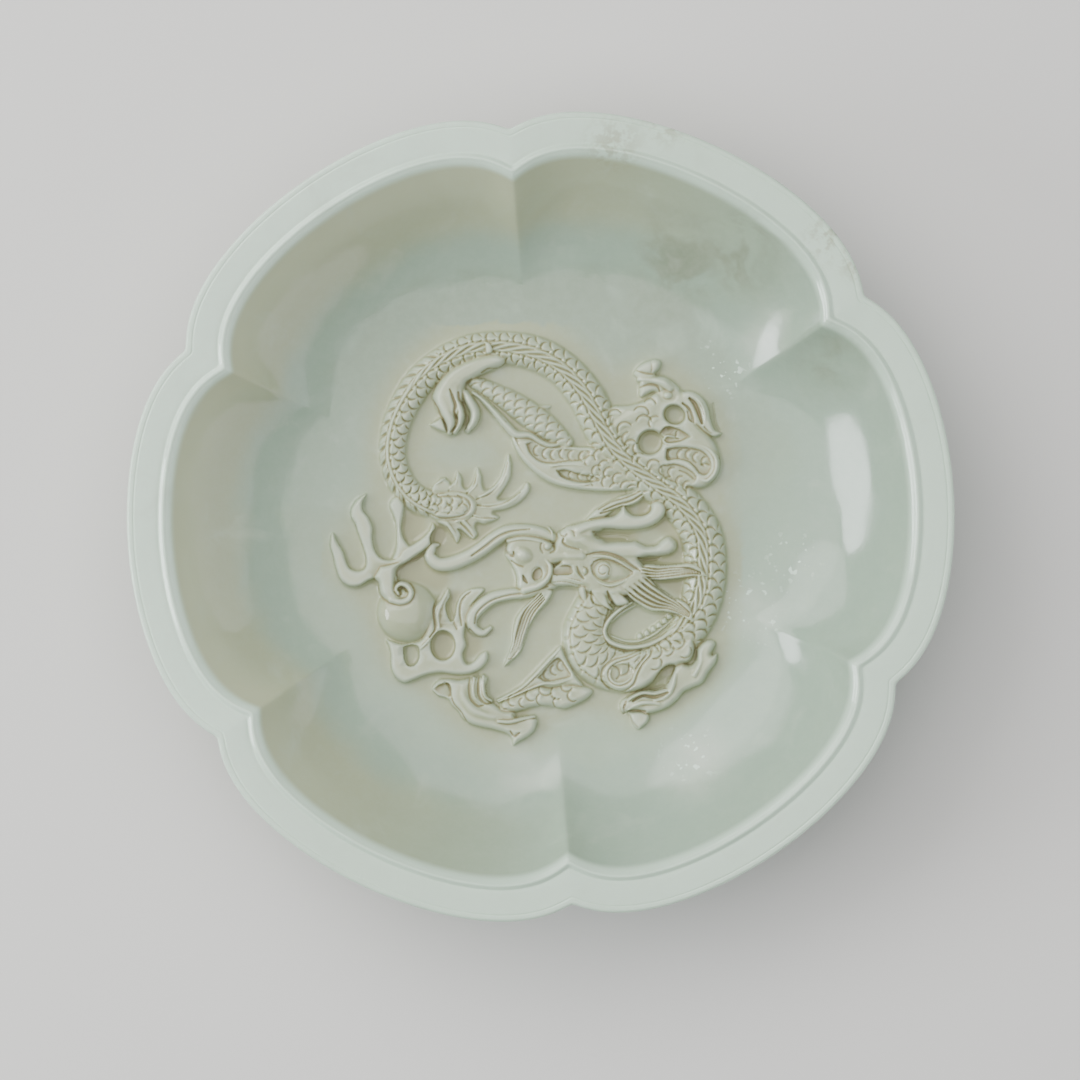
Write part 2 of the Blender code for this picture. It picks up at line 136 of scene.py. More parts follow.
class Section:
    """The dish's measures, worked out once from the sizes in the panel. Lengths are in metres."""

    def __init__(self, sizes):
        self.oval = sizes.length / sizes.breadth
        self.edge = sizes.breadth / 2
        self.rim = sizes.rim_breadth
        self.mouth = self.edge - sizes.rim_breadth
        self.floor_radius = sizes.floor_radius
        self.foot_height = sizes.foot_height
        self.floor_top = sizes.foot_height + sizes.floor_thickness
        self.depth = sizes.cavity_depth
        self.curve = sizes.cavity_curve
        self.rim_top = self.floor_top + self.depth + sizes.rim_fall
        self.sizes = sizes

    def ridge(self, share):
        """How far a petal ridge stands in, a share of the way up the wall."""
        return self.sizes.ridge_depth * (1.0 - (1.0 - share) ** RIDGE_FADE)

    def sharpness(self, share):
        return FLOOR_SHARPNESS + (RIM_SHARPNESS - FLOOR_SHARPNESS) * share

    def wall_radius(self, share):
        return self.floor_radius + (self.mouth - self.floor_radius) * share

    def wall_height(self, share):
        return self.floor_top + self.depth * share ** self.curve

    def share_at(self, x, y):
        """The share of the way up the wall under a point, found by halving."""
        angle = np.arctan2(y, x / self.oval)
        radius = np.hypot(x / self.oval, y)
        place = lobe_place(angle)
        low, high = np.zeros_like(radius), np.ones_like(radius)
        for _ in range(HALVINGS):
            middle = (low + high) / 2
            there = self.wall_radius(middle) - self.ridge(middle) * place ** self.sharpness(middle)
            low = np.where(there < radius, middle, low)
            high = np.where(there < radius, high, middle)
        return np.where(radius < self.floor_radius, 0.0, (low + high) / 2)

    def stations(self):
        """Radius, height, notch and sharpness of each ring, from the relief over the rim to the foot."""
        s = self.sizes
        rows = []
        for share in np.linspace(JOIN_SHARE, 1.0, WALL_RINGS):
            rows.append((self.wall_radius(share), self.wall_height(share), self.ridge(share),
                         self.sharpness(share)))
        rows += self.rim_stations()
        for share in np.linspace(1.0, FOOT_SHARE, OUTSIDE_RINGS):
            slope = math.atan(self.curve * self.depth * share ** (self.curve - 1)
                              / (self.mouth - self.floor_radius))
            wall = s.floor_thickness + (s.wall_at_rim - s.floor_thickness) * share
            rows.append((self.wall_radius(share) + wall * math.sin(slope),
                         self.wall_height(share) - wall * math.cos(slope), self.ridge(share),
                         self.sharpness(share)))
        rows += self.foot_stations()
        return rows

    def rim_stations(self):
        """Over the bead, the two cut lines and the flat rim, round the outer edge and back under it."""
        s = self.sizes
        fine = np.concatenate([
            np.linspace(self.rim, self.rim - s.bead_breadth - BEAD_GROOVE, 13)[1:],
            np.linspace(self.rim - s.bead_breadth - BEAD_GROOVE, LIP_LINE + LINE_HALF * 2, 7)[1:],
            np.linspace(LIP_LINE + LINE_HALF * 2, s.edge_rounding, 9)[1:],
        ])
        rows = []
        for inward in fine:
            across = inward / self.rim
            height = self.rim_top - s.rim_fall * smoothstep(0.0, 1.0, across)
            height += s.bead_height * bump(inward, self.rim - s.bead_breadth / 2, s.bead_breadth / 2)
            height -= BEAD_GROOVE_DEPTH * bump(inward, self.rim - s.bead_breadth - BEAD_GROOVE / 2,
                                               BEAD_GROOVE)
            height -= LINE_DEPTH * bump(inward, LIP_LINE, LINE_HALF)
            rows.append((self.edge - inward, height, self.notch_at(across), RIM_SHARPNESS))
        round_ = s.edge_rounding
        for turn in np.linspace(0.0, math.pi / 2, OUTER_TURN)[1:]:
            rows.append((self.edge - round_ + round_ * math.sin(turn),
                         self.rim_top - round_ + round_ * math.cos(turn), s.notch_depth, RIM_SHARPNESS))
        for turn in np.linspace(0.0, math.pi / 2, UNDER_TURN)[1:]:
            rows.append((self.edge - round_ + round_ * math.cos(turn),
                         self.rim_top - s.rim_thickness + round_ - round_ * math.sin(turn),
                         s.notch_depth, RIM_SHARPNESS))
        for across in UNDER_RIM_SHARES:
            rows.append((self.edge - self.rim * across,
                         self.rim_top - s.rim_thickness - s.rim_fall * 0.5 * across,
                         self.notch_at(across), RIM_SHARPNESS))
        return rows

    def notch_at(self, across):
        """How far a ring of the rim draws in, a share of the way from its edge to the mouth."""
        s = self.sizes
        return s.notch_depth + (s.ridge_depth - s.notch_depth) * across

    def foot_stations(self):
        """Down the foot's outer side, across the face it stands on, and up to the middle of the recess."""
        s = self.sizes
        inside = s.foot_radius - s.foot_width
        soft = FOOT_SOFTNESS
        down = [
            (s.foot_radius + s.foot_draft + soft * 2.5, s.foot_height + soft * 0.6),
            (s.foot_radius + s.foot_draft + soft, s.foot_height - soft * 0.4),
            (s.foot_radius + s.foot_draft * 0.6, s.foot_height * 0.6),
            (s.foot_radius + soft * 0.2, soft),
            (s.foot_radius - soft * 0.3, soft * 0.3),
            (s.foot_radius - soft, 0.0),
            (inside + soft, 0.0),
            (inside + soft * 0.3, soft * 0.3),
            (inside, soft),
            (inside - s.foot_draft * 0.6, s.foot_height * 0.6),
            (inside - s.foot_draft, s.foot_height - soft),
            (inside - s.foot_draft - soft, s.foot_height),
        ]
        rows = [(radius, height, s.foot_notch, FLOOR_SHARPNESS) for radius, height in down]
        for share in RECESS_SHARES:
            rows.append(((inside - s.foot_draft) * share, s.foot_height, s.foot_notch * share ** 3,
                         FLOOR_SHARPNESS))
        return rows

    def ring(self, station, steps):
        """The points of one ring. More of them stand near the notches than in the middle of a lobe."""
        radius, height, notch, sharpness = station
        lobe, part = np.divmod(np.arange(LOBES * steps), steps)
        even = part / steps * 2 - 1
        crowded = np.sign(even) * (1 - (1 - np.abs(even)) ** NOTCH_CROWDING)
        angle = FIRST_NOTCH + (lobe + (crowded + 1) / 2) * 2 * math.pi / LOBES
        reach = radius - notch * lobe_place(angle) ** sharpness
        return np.stack([reach * np.cos(angle) * self.oval, reach * np.sin(angle),
                         np.full_like(angle, height)], axis=1)


# Carving in height: forms, cuts and hollows on a grid over the floor

CUT_BREADTH = 1.3
FALL = 1.2
MOAT_SHARE = 0.5
SKIRT_PX = 2.4
SKIRT_SHARE = 0.45
BARE_BELOW = 0.6
WASHED_BELOW = 1.6
FAR = 1e9
RING_REACH = 8.0


def smooth_route(points, step=1.0):
    """A smooth curve through points, cut into even steps. Further columns run along with it."""
    pts = np.array(points, float)
    if len(pts) == 1:
        return pts
    ends = np.vstack([2 * pts[0] - pts[1], pts, 2 * pts[-1] - pts[-2]])
    fine = []
    for b, s, e, a in zip(ends, ends[1:], ends[2:], ends[3:]):
        n = max(2, int(math.hypot(*(e[:2] - s[:2])) / step * 2))
        t = np.linspace(0, 1, n, endpoint=False)[:, None]
        fine.append(0.5 * (2 * s + (e - b) * t + (2 * b - 5 * s + 4 * e - a) * t ** 2
                           + (3 * s - b - 3 * e + a) * t ** 3))
    fine = np.vstack([*fine, pts[-1:]])
    run = np.concatenate([[0], np.cumsum(np.hypot(*np.diff(fine[:, :2], axis=0).T))])
    at = np.linspace(0, run[-1], max(2, int(run[-1] / step) + 1))
    return np.stack([np.interp(at, run, col) for col in fine.T], axis=1)


def blurred(values, cells):
    """A field smoothed by three running means, one after another, both ways."""
    for _ in range(3):
        for axis in (0, 1):
            size = 2 * cells + 1
            padded = np.concatenate([np.repeat(values.take([0], axis), cells + 1, axis), values,
                                     np.repeat(values.take([-1], axis), cells, axis)], axis)
            total = np.cumsum(padded, axis=axis)
            count = values.shape[axis]
            values = (total.take(range(size, size + count), axis) - total.take(range(count), axis)) / size
    return values


def closed(outline):
    """An outline of (x, y) with its first point again at the end."""
    return list(outline) + [outline[0]]


def soft_step(share):
    """Runs smoothly from 0 to 1 as a share does."""
    return share * share * (3 - 2 * share)


class Carving:
    """A field of heights in millimetres, with its stains and its olive ground that is partly painted shade,
    in the photograph's pixels.
    """

    def __init__(self, left, top, right, bottom, cell):
        self.cell = cell
        self.xs = np.arange(left, right + cell / 2, cell)
        self.ys = np.arange(top, bottom + cell / 2, cell)
        self.X, self.Y = np.meshgrid(self.xs, self.ys)
        self.Z = np.zeros_like(self.X)
        self.stain = np.zeros_like(self.X)
        self.olive = np.zeros_like(self.X)

    def window(self, x0, y0, x1, y1):
        """The cells between two corners, as a pair of slices."""
        i0, i1 = np.searchsorted(self.xs, (x0, x1))
        j0, j1 = np.searchsorted(self.ys, (y0, y1))
        return slice(j0, j1), slice(i0, i1)

    def along(self, route, margin=6.0, chunk=12, ring=None):
        """Distance, run, side and the route's own columns at the cells near a route."""
        r = smooth_route(route) if ring is None else np.column_stack([ring, np.full(len(ring), RING_REACH)])
        reach = r[:, 2].max() + margin
        box = self.window(r[:, 0].min() - reach, r[:, 1].min() - reach,
                          r[:, 0].max() + reach, r[:, 1].max() + reach)
        X, Y = self.X[box], self.Y[box]
        best = np.full(X.shape, FAR)
        run = np.zeros(X.shape)
        side = np.zeros(X.shape)
        tan = np.gradient(r[:, :2], axis=0) if len(r) > 1 else np.array([[1.0, 0.0]])
        tan /= np.maximum(np.hypot(*tan.T), 1e-9)[:, None]
        seg = np.hypot(*np.diff(r[:, :2], axis=0).T) if len(r) > 1 else np.array([])
        s = np.concatenate([[0], np.cumsum(seg)])
        xs, ys = X[0], Y[:, 0]
        for k in range(0, len(r), chunk):
            part = r[k:k + chunk]
            m = part[:, 2].max() + margin
            i0, i1 = np.searchsorted(xs, (part[:, 0].min() - m, part[:, 0].max() + m))
            j0, j1 = np.searchsorted(ys, (part[:, 1].min() - m, part[:, 1].max() + m))
            sub = slice(j0, j1), slice(i0, i1)
            if j1 <= j0 or i1 <= i0:
                continue
            dx = X[sub][..., None] - part[:, 0]
            dy = Y[sub][..., None] - part[:, 1]
            d2 = dx * dx + dy * dy
            near = d2.argmin(axis=2)
            d = np.sqrt(np.take_along_axis(d2, near[..., None], 2)[..., 0])
            better = d < best[sub]
            gx = np.take_along_axis(dx, near[..., None], 2)[..., 0]
            gy = np.take_along_axis(dy, near[..., None], 2)[..., 0]
            tx, ty = tan[k + near, 0], tan[k + near, 1]
            best[sub] = np.where(better, d, best[sub])
            run[sub] = np.where(better, s[k + near] + gx * tx + gy * ty, run[sub])
            side[sub] = np.where(better, tx * gy - ty * gx, side[sub])
        cols = [np.interp(run, s, r[:, c]) if len(r) > 1 else np.full(X.shape, r[0, c])
                for c in range(2, r.shape[1])]
        return box, best, run, side, cols

    def oval(self, x, y, a, b, turn, margin=1.6):
        """How far out cells lie in an oval, 1 at its edge."""
        reach = max(a, b) * margin + 3
        box = self.window(x - reach, y - reach, x + reach, y + reach)
        dx, dy = self.X[box] - x, self.Y[box] - y
        c, s = math.cos(math.radians(turn)), math.sin(math.radians(turn))
        u, v = dx * c - dy * s, dx * s + dy * c
        return box, np.hypot(u / a, v / b)

    def join(self, box, h, blend):
        """Keeps the higher of the ground and a new form, rounded where they meet."""
        Z = self.Z[box]
        m = np.clip(0.5 + 0.5 * (h - Z) / blend, 0, 1)
        self.Z[box] = Z * (1 - m) + h * m + blend * m * (1 - m)

    def moat(self, box, beyond, depth, width=1.6):
        """Cuts back what lies just outside a form that passes over it."""
        if not depth:
            return
        Z = self.Z[box]
        cut = MOAT_SHARE * depth * np.exp(-(np.maximum(beyond, 0) / width) ** 2)
        self.Z[box] = np.where(Z > 0.05, np.maximum(Z - cut, 0.0), Z)

    def form(self, route, crest=0.0, shape=(2.0, 0.5), blend=0.35, moat=0.5, detail=None):
        """A rounded form along a route of x, y, half width and, if it changes, crest."""
        box, d, s, t, cols = self.along(route)
        w = np.maximum(cols[0], 0.3)
        q = d / w
        widest = max(p[2] for p in route)
        high = cols[1] if len(cols) > 1 else crest * np.minimum(1.0, 0.35 + 0.65 * w / widest)
        a, b = shape
        h = high * np.clip(1 - q ** a, 0, 1) ** b - np.maximum(q - 1, 0) * w * FALL
        if detail is not None:
            h = h + detail(s, t) * np.clip(1.25 - q ** 3, 0, 1) * (q < 1.05)
        self.moat(box, d - w, moat)
        self.join(box, h, blend)

    def slab(self, outline, crest, edge=3.0, blend=0.35, moat=0.4, dome=0.0):
        """A flat-topped form inside a closed outline of (x, y), rounded over its edge."""
        box, depth = self.depth_inside(outline)
        q = 1 - np.clip(depth / edge, 0, 1)
        high = crest * (1 - q ** 2.2) ** 0.55 + dome * np.clip(depth / (3 * edge), 0, 1) ** 0.7
        high = np.where(depth > 0, high, depth * FALL)
        self.moat(box, -depth, moat)
        self.join(box, high, blend)

    def depth_inside(self, outline):
        """The window round a closed outline, and how deep its cells lie inside, less than 0 outside."""
        ring = smooth_route(closed(outline))
        box, away, _, _, _ = self.along(None, ring=ring)
        return box, np.where(self.within(box, ring), away, -away)

    def within(self, box, ring):
        """Which cells of a window lie inside a closed ring of points."""
        X, Y = self.X[box], self.Y[box]
        inside = np.zeros(X.shape, bool)
        for (x0, y0), (x1, y1) in zip(ring[:-1, :2], ring[1:, :2]):
            if y0 == y1:
                continue
            crossing = ((Y < y0) != (Y < y1)) & (X < x0 + (Y - y0) * (x1 - x0) / (y1 - y0))
            inside ^= crossing
        return inside

    def blob(self, x, y, a, b, crest, turn=0.0, shape=(2.0, 0.5), blend=0.25, moat=0.5, base=0.0):
        """A rounded form over an oval."""
        box, q = self.oval(x, y, a, b, turn)
        lo = min(a, b)
        h = crest * np.clip(1 - q ** shape[0], 0, 1) ** shape[1] - np.maximum(q - 1, 0) * lo * FALL + base
        self.moat(box, (q - 1) * lo, moat)
        self.join(box, h, blend)

    def cut(self, route, depth, stain=0.0, power=1.2):
        """A groove along a route, or a raised line where depth is negative."""
        box, d, _, _, cols = self.along(route, margin=2.0)
        w = np.maximum(cols[0], 0.2) * CUT_BREADTH
        g = np.clip(1 - (d / w) ** 2, 0, 1) ** power
        self.Z[box] -= depth * g
        self.stain[box] = np.maximum(self.stain[box], stain * g)

    def bring_down(self, box, amount, to, stain):
        """Moves high ground towards a level, by an amount from 0 to 1, and stains it."""
        Z = self.Z[box]
        self.Z[box] = np.where(Z > to, Z * (1 - amount) + to * amount, Z)
        self.stain[box] = np.maximum(self.stain[box], stain * amount)

    def sink(self, x, y, a, b, to, turn=0.0, edge=0.18, stain=0.0):
        """Takes an oval down to a level, like a pierced hole that stops at the ground."""
        box, q = self.oval(x, y, a, b, turn)
        self.bring_down(box, soft_step(np.clip((1 + edge / 2 - q) / edge, 0, 1)), to, stain)

    def lower(self, outline, to, edge=2.5, stain=0.0):
        """Takes what lies inside a closed outline down to a level, with a soft step at its edge."""
        box, depth = self.depth_inside(outline)
        self.bring_down(box, soft_step(np.clip(depth / edge + 0.5, 0, 1)), to, stain)

    def wash(self, outline, edge=11.0):
        """Marks low ground inside an outline as olive with painted shade, fading over its edge."""
        box, depth = self.depth_inside(outline)
        m = np.clip(depth / edge + 0.5, 0, 1) * (1 - np.clip(self.Z[box] / WASHED_BELOW, 0, 1))
        self.olive[box] = np.maximum(self.olive[box], m)

    def settle(self):
        """Lets the forms run softly into the open ground around them."""
        soft = blurred(self.Z, int(SKIRT_PX / self.cell))
        bare = 1 - np.clip(self.Z / BARE_BELOW, 0, 1)
        self.Z += SKIRT_SHARE * bare * np.maximum(soft - self.Z, 0)

    def sample(self, values, points, pixel):
        """Reads a field of the carving under points in metres, between its cells."""
        x = (points[:, 0] / pixel + DISH_MIDDLE_PX[0] - self.xs[0]) / self.cell
        y = (DISH_MIDDLE_PX[1] - points[:, 1] / pixel - self.ys[0]) / self.cell
        inside = (x > 0) & (y > 0) & (x < len(self.xs) - 1) & (y < len(self.ys) - 1)
        x = np.clip(x, 0, len(self.xs) - 1.001)
        y = np.clip(y, 0, len(self.ys) - 1.001)
        i, j = x.astype(int), y.astype(int)
        u, v = x - i, y - j
        found = ((values[j, i] * (1 - u) + values[j, i + 1] * u) * (1 - v)
                 + (values[j + 1, i] * (1 - u) + values[j + 1, i + 1] * u) * v)
        return np.where(inside, found, 0.0)


# Patterns that are cut into the forms

def scale_pattern(along, across, lift=0.25, cutting=0.5, tip=0.36, wide=0.86, fine=0.13):
    """Overlapping scales whose free edges point the way `along` grows. Both are counted in scales."""
    lane0 = np.floor(across)
    top = np.full(along.shape, 1e9)
    out = np.zeros(along.shape)
    groove = np.zeros(along.shape)
    for j in (lane0, lane0 + 1):
        shift = 0.5 * np.mod(j, 2)
        u = np.clip(np.abs(across - j) / wide, 0, 1)
        reach = tip * np.sqrt(1 - u * u)
        c = np.ceil(along - reach - shift) + shift
        gap = c + reach - along
        strength = np.clip(1.15 - u ** 2.5, 0, 1) * (u < 1)
        groove = np.maximum(groove, strength * np.maximum(np.exp(-((1 - gap) / fine) ** 2),
                                                          np.exp(-(gap / (0.6 * fine)) ** 2) * (c < top)))
        raised = lift * (1 - gap) * (1 - 0.5 * u * u)
        out = np.where((c < top) & (u < 1), raised, out)
        top = np.where((c < top) & (u < 1), c, top)
    return out - cutting * groove


def leaf_strokes(run, off, half, pitch=15.0, lean=3.0, depth=0.6, width=0.2):
    """Slanting slits along the middle of a band, with a raised leaf between each two."""
    phase = np.mod((run + off * lean) / pitch, 1.0)
    near = np.minimum(phase, 1 - phase)
    fade = np.clip(1.35 - (off / (0.55 * half)) ** 2, 0, 1)
    return -depth * np.exp(-(near / width) ** 2) * fade + depth * 0.3 * np.sin(math.pi * phase) ** 2


def shin_scales(run, side):
    """The scales along the shin, in slanting rows."""
    return scale_pattern((run + 0.3 * side) / 13, side / 8 + 10.5, lift=0.28, tip=0.45)


# The body: x, y, half width, how far the back's ridge lies off the middle, length of a scale, crest
BODY = [
    (606, 588, 17, -16, 14, 2.5), (593, 610, 20, -19, 14, 2.8), (586, 636, 24, -22, 14, 3.1),
    (596, 660, 25, -23, 14, 3.1), (624, 671, 23, -22, 14, 2.9), (655, 662, 20, -18, 14, 2.9),
    (681, 642, 19, -14, 15, 2.9), (697, 618, 20, -7, 16, 2.9), (705, 592, 21.5, -3, 16, 2.9),
    (707, 560, 22, -2, 16, 2.9), (701, 530, 21.5, 0, 16, 2.9), (680, 501, 20.5, 0, 16, 2.9),
    (647, 476, 20, 0, 16, 2.9), (617, 449, 20, 0, 16, 2.9), (599, 419, 19.5, 0, 16, 2.9),
    (584, 391, 19, 0, 15, 2.9), (563, 367, 18, 0, 14, 2.8), (537, 352, 18, 0, 13.5, 2.7),
    (505, 346, 17, 1, 13, 2.6), (472, 348, 16.5, 2, 13, 2.6), (443, 360, 16, 3, 14, 2.6),
    (420, 378, 15.5, 4, 15, 2.6), (404, 402, 15, 4.5, 15, 2.6), (394, 427, 14.5, 5, 15, 2.6),
    (391, 455, 14, 5, 15, 2.5), (399, 480, 14, 5, 14, 2.4), (414, 497, 14, 5.5, 12, 2.4),
    (438, 506, 13.5, 8, 12, 2.3), (458, 507, 12, 9, 12, 2.2),
]
CHEST_RUN = 130.0
TAIL_RUN = 640.0
# How these change along the body's run: half the breadth of the band on its back, the breadth of a row of
# scales, the depth of the scales, and how far the leaves on the band reach
BAND = ([0, 150, 230, 571, 636, 665, 694, 900], [3.0, 3.4, 5.6, 5.6, 4.8, 3.4, 2.3, 1.8])
LANE = ([0, CHEST_RUN, 200, 900], [9.4, 9.4, 7.2, 6.6])
SCALE_DEPTH = ([0, CHEST_RUN, 200], [0.65, 0.65, 1.0])
LEAF_DEPTH = ([640, 690], [1.0, 0.0])
SLASH_PITCH = 12.5
BELLY_PITCH = 12.0
BELLY_BREADTH = 7.5


def hump(value, half):
    """A soft hump of height 1 where a value is 0."""
    return np.exp(-(value / half) ** 2)


def carve_body(work):
    """The winding body, with scales on its flanks, a band along its back and the chest's belly."""
    box, away, run, side, cols = work.along(BODY)
    half, ridge, _, crest = cols
    spine = smooth_route(BODY)
    steps = np.hypot(*np.diff(spine[:, :2], axis=0).T)
    count = np.interp(run, np.concatenate([[0], np.cumsum(steps)]),
                      np.concatenate([[0], np.cumsum(steps / spine[1:, 4])]))
    q = away / half
    high = crest * np.clip(1 - q ** 2.6, 0, 1) ** 0.7 - np.maximum(q - 1, 0) * half * 0.9
    off = side - ridge
    band = np.interp(run, *BAND)
    flank = np.abs(off) - band
    lane = np.interp(run, *LANE)
    scales = scale_pattern(count, flank / lane + 0.5, lift=0.36, cutting=0.75, tip=0.38, fine=0.09)
    scales = np.interp(run, *SCALE_DEPTH) * scales
    leaves = leaf_strokes(run, off, band) * np.interp(run, *LEAF_DEPTH)
    pattern = np.where(flank > 0, scales, leaves)
    # two fine lines bound the ridge
    pattern += -0.34 * hump(np.abs(flank) - 0.1, 0.9) + 0.2 * hump(flank - 2.2, 0.9)
    # the tail's outer side has slanting cuts instead of scales
    outer = (off > band) & (run > TAIL_RUN)
    phase = np.mod((run - 0.8 * flank) / SLASH_PITCH, 1.0)
    slashes = 0.25 * phase - 1.1 * hump(phase - 0.5, 0.16) * np.clip(1.5 - np.abs(flank - 4) / 4, 0, 1)
    pattern = np.where(outer, slashes - 0.1, pattern)
    # the chest has a belly band with short cuts across it
    belly = side - (half - BELLY_BREADTH)
    cross = -0.3 * hump(np.mod(run / BELLY_PITCH, 1.0) - 0.5, 0.08)
    chest = run < CHEST_RUN + BELLY_PITCH
    pattern = np.where((belly > 0) & chest, 0.05 + cross, pattern)
    pattern = pattern - 0.28 * hump(belly + 0.5, 1.0) * chest
    pattern = pattern + 0.12 * hump(belly + 3.0, 1.1) * chest
    work.moat(box, away - half, 0.3)
    work.join(box, high + pattern * np.clip(1.25 - q ** 4, 0, 1) * (q < 1.0), 0.35)


def carve_tail(work):
    """The tail's fan: a thin web with rays, each with one long cut."""
    web = [(430, 487), (436, 480), (442, 477), (448, 480), (451, 483), (454, 476), (457, 471), (461, 477),
           (462, 485), (466, 488), (471, 483), (474, 475), (477, 467), (481, 475), (482, 484), (485, 489),
           (493, 486), (500, 476), (505, 463), (508, 453), (511, 462), (511, 474), (507, 484), (501, 493),
           (498, 498), (504, 499), (513, 496), (521, 489), (527, 482), (530, 488), (526, 496), (517, 504),
           (506, 509), (496, 511), (493, 513), (499, 517), (493, 521), (484, 524), (477, 523), (475, 527),
           (477, 535), (472, 539), (463, 532), (459, 530), (460, 536), (456, 543), (449, 534), (443, 526),
           (434, 520), (428, 505)]
    work.slab(web, 1.35, edge=4.0, moat=0.2, blend=0.5)
    rays = [
        [(433, 485, 1.5), (440, 480, 2.2), (444, 478, 1.2)],
        [(449, 489, 2.4), (455, 481, 2.2), (457, 473, 1.2)],
        [(468, 491, 3), (475, 483, 2.6), (477, 470, 1.2)],
        [(480, 497, 3.6), (494, 489, 3.6), (503, 477, 3), (508, 456, 1.2)],
        [(482, 506, 3.6), (497, 505, 4), (512, 500, 3.6), (527, 486, 1.4)],
        [(474, 516, 3), (485, 519, 3), (496, 517, 1.4)], [(463, 521, 3), (471, 530, 2.6), (474, 536, 1.2)],
        [(446, 523, 3), (453, 533, 2.6), (456, 540, 1.2)],
    ]
    for ray in rays:
        work.form(ray, 1.9, shape=(2, 0.8), moat=0, blend=0.5)
    cuts = [
        [(431, 486, 0.8), (436, 481, 1.1), (442, 478, 0.8)],
            [(448, 490, 0.8), (453, 484, 1.2), (455, 475, 0.8)],
        [(466, 493, 0.8), (473, 485, 1.2), (476, 474, 0.8)],
        [(476, 499, 0.8), (488, 494, 1.3), (498, 485, 1.4), (504, 473, 1.2), (507, 461, 0.7)],
        [(477, 505, 0.8), (490, 506, 1.3), (505, 502, 1.4), (520, 492, 0.8)],
        [(472, 516, 0.8), (482, 518, 1.2), (495, 518, 0.7)],
            [(460, 523, 0.9), (466, 529, 1.2), (472, 536, 0.9)],
        [(457, 529, 0.8), (464, 535, 1.3), (470, 539, 0.9)],
            [(446, 527, 0.9), (451, 535, 1.4), (454, 541, 1.1)],
    ]
    for line in cuts:
        work.cut(line, 0.55)


def finish_tail_tip(work):
    """The scaled end of the tail inside its raised border."""
    tip = [(428, 494), (440, 493), (456, 492), (467, 494), (474, 501), (475, 509), (470, 516), (460, 520),
           (446, 520), (432, 517)]
    work.slab(tip, 2.15, edge=6.0, moat=0.25, blend=0.4)
    border = [(440, 494, 1.0), (454, 492.5, 1.3), (466, 495, 1.5), (473.5, 502, 1.6), (473, 511, 1.6),
              (466, 518, 1.6), (456, 521, 1.3)]
    work.cut(border, -0.4)
    work.cut([(437, 496.5, 0.9), (455, 496, 1.1), (465, 498.5, 1.3), (469.5, 505, 1.4), (467, 512, 1.3),
              (458, 516.5, 1.2), (440, 517.5, 1.1), (425, 512, 1.0)], 0.5)
    for x, y, r in ((425, 499, 6), (436, 500, 5.5), (447, 500.5, 5.5), (457, 500.5, 5.5), (433, 508.5, 5.5),
                    (446, 508.5, 5.5), (463, 508, 4.5)):
        work.cut([(x, y - r, 0.9), (x + r * 0.75, y - r * 0.45, 1.1), (x + r * 0.8, y + r * 0.35, 1.1),
                  (x + 1, y + r * 0.9, 0.9)], 0.42)


ARC_SWEEP = 150.0
ARC_TAPER = (0.6, 0.9, 1.0, 1.0, 1.0, 0.9, 0.6)


def arc(work, x, y, reach, turn, depth=0.42, width=1.15):
    """The free edge of a scale: a raised crescent inside a cut one, which bulges the way `turn` points."""
    angles = np.radians(turn + np.linspace(-ARC_SWEEP / 2, ARC_SWEEP / 2, len(ARC_TAPER)))
    for out, half, deep in ((reach - 2.4, 2.6, -0.4 * depth), (reach, width, depth)):
        work.cut([(x + out * math.cos(a), y + out * math.sin(a), half * k)
                  for a, k in zip(angles, ARC_TAPER)], deep)


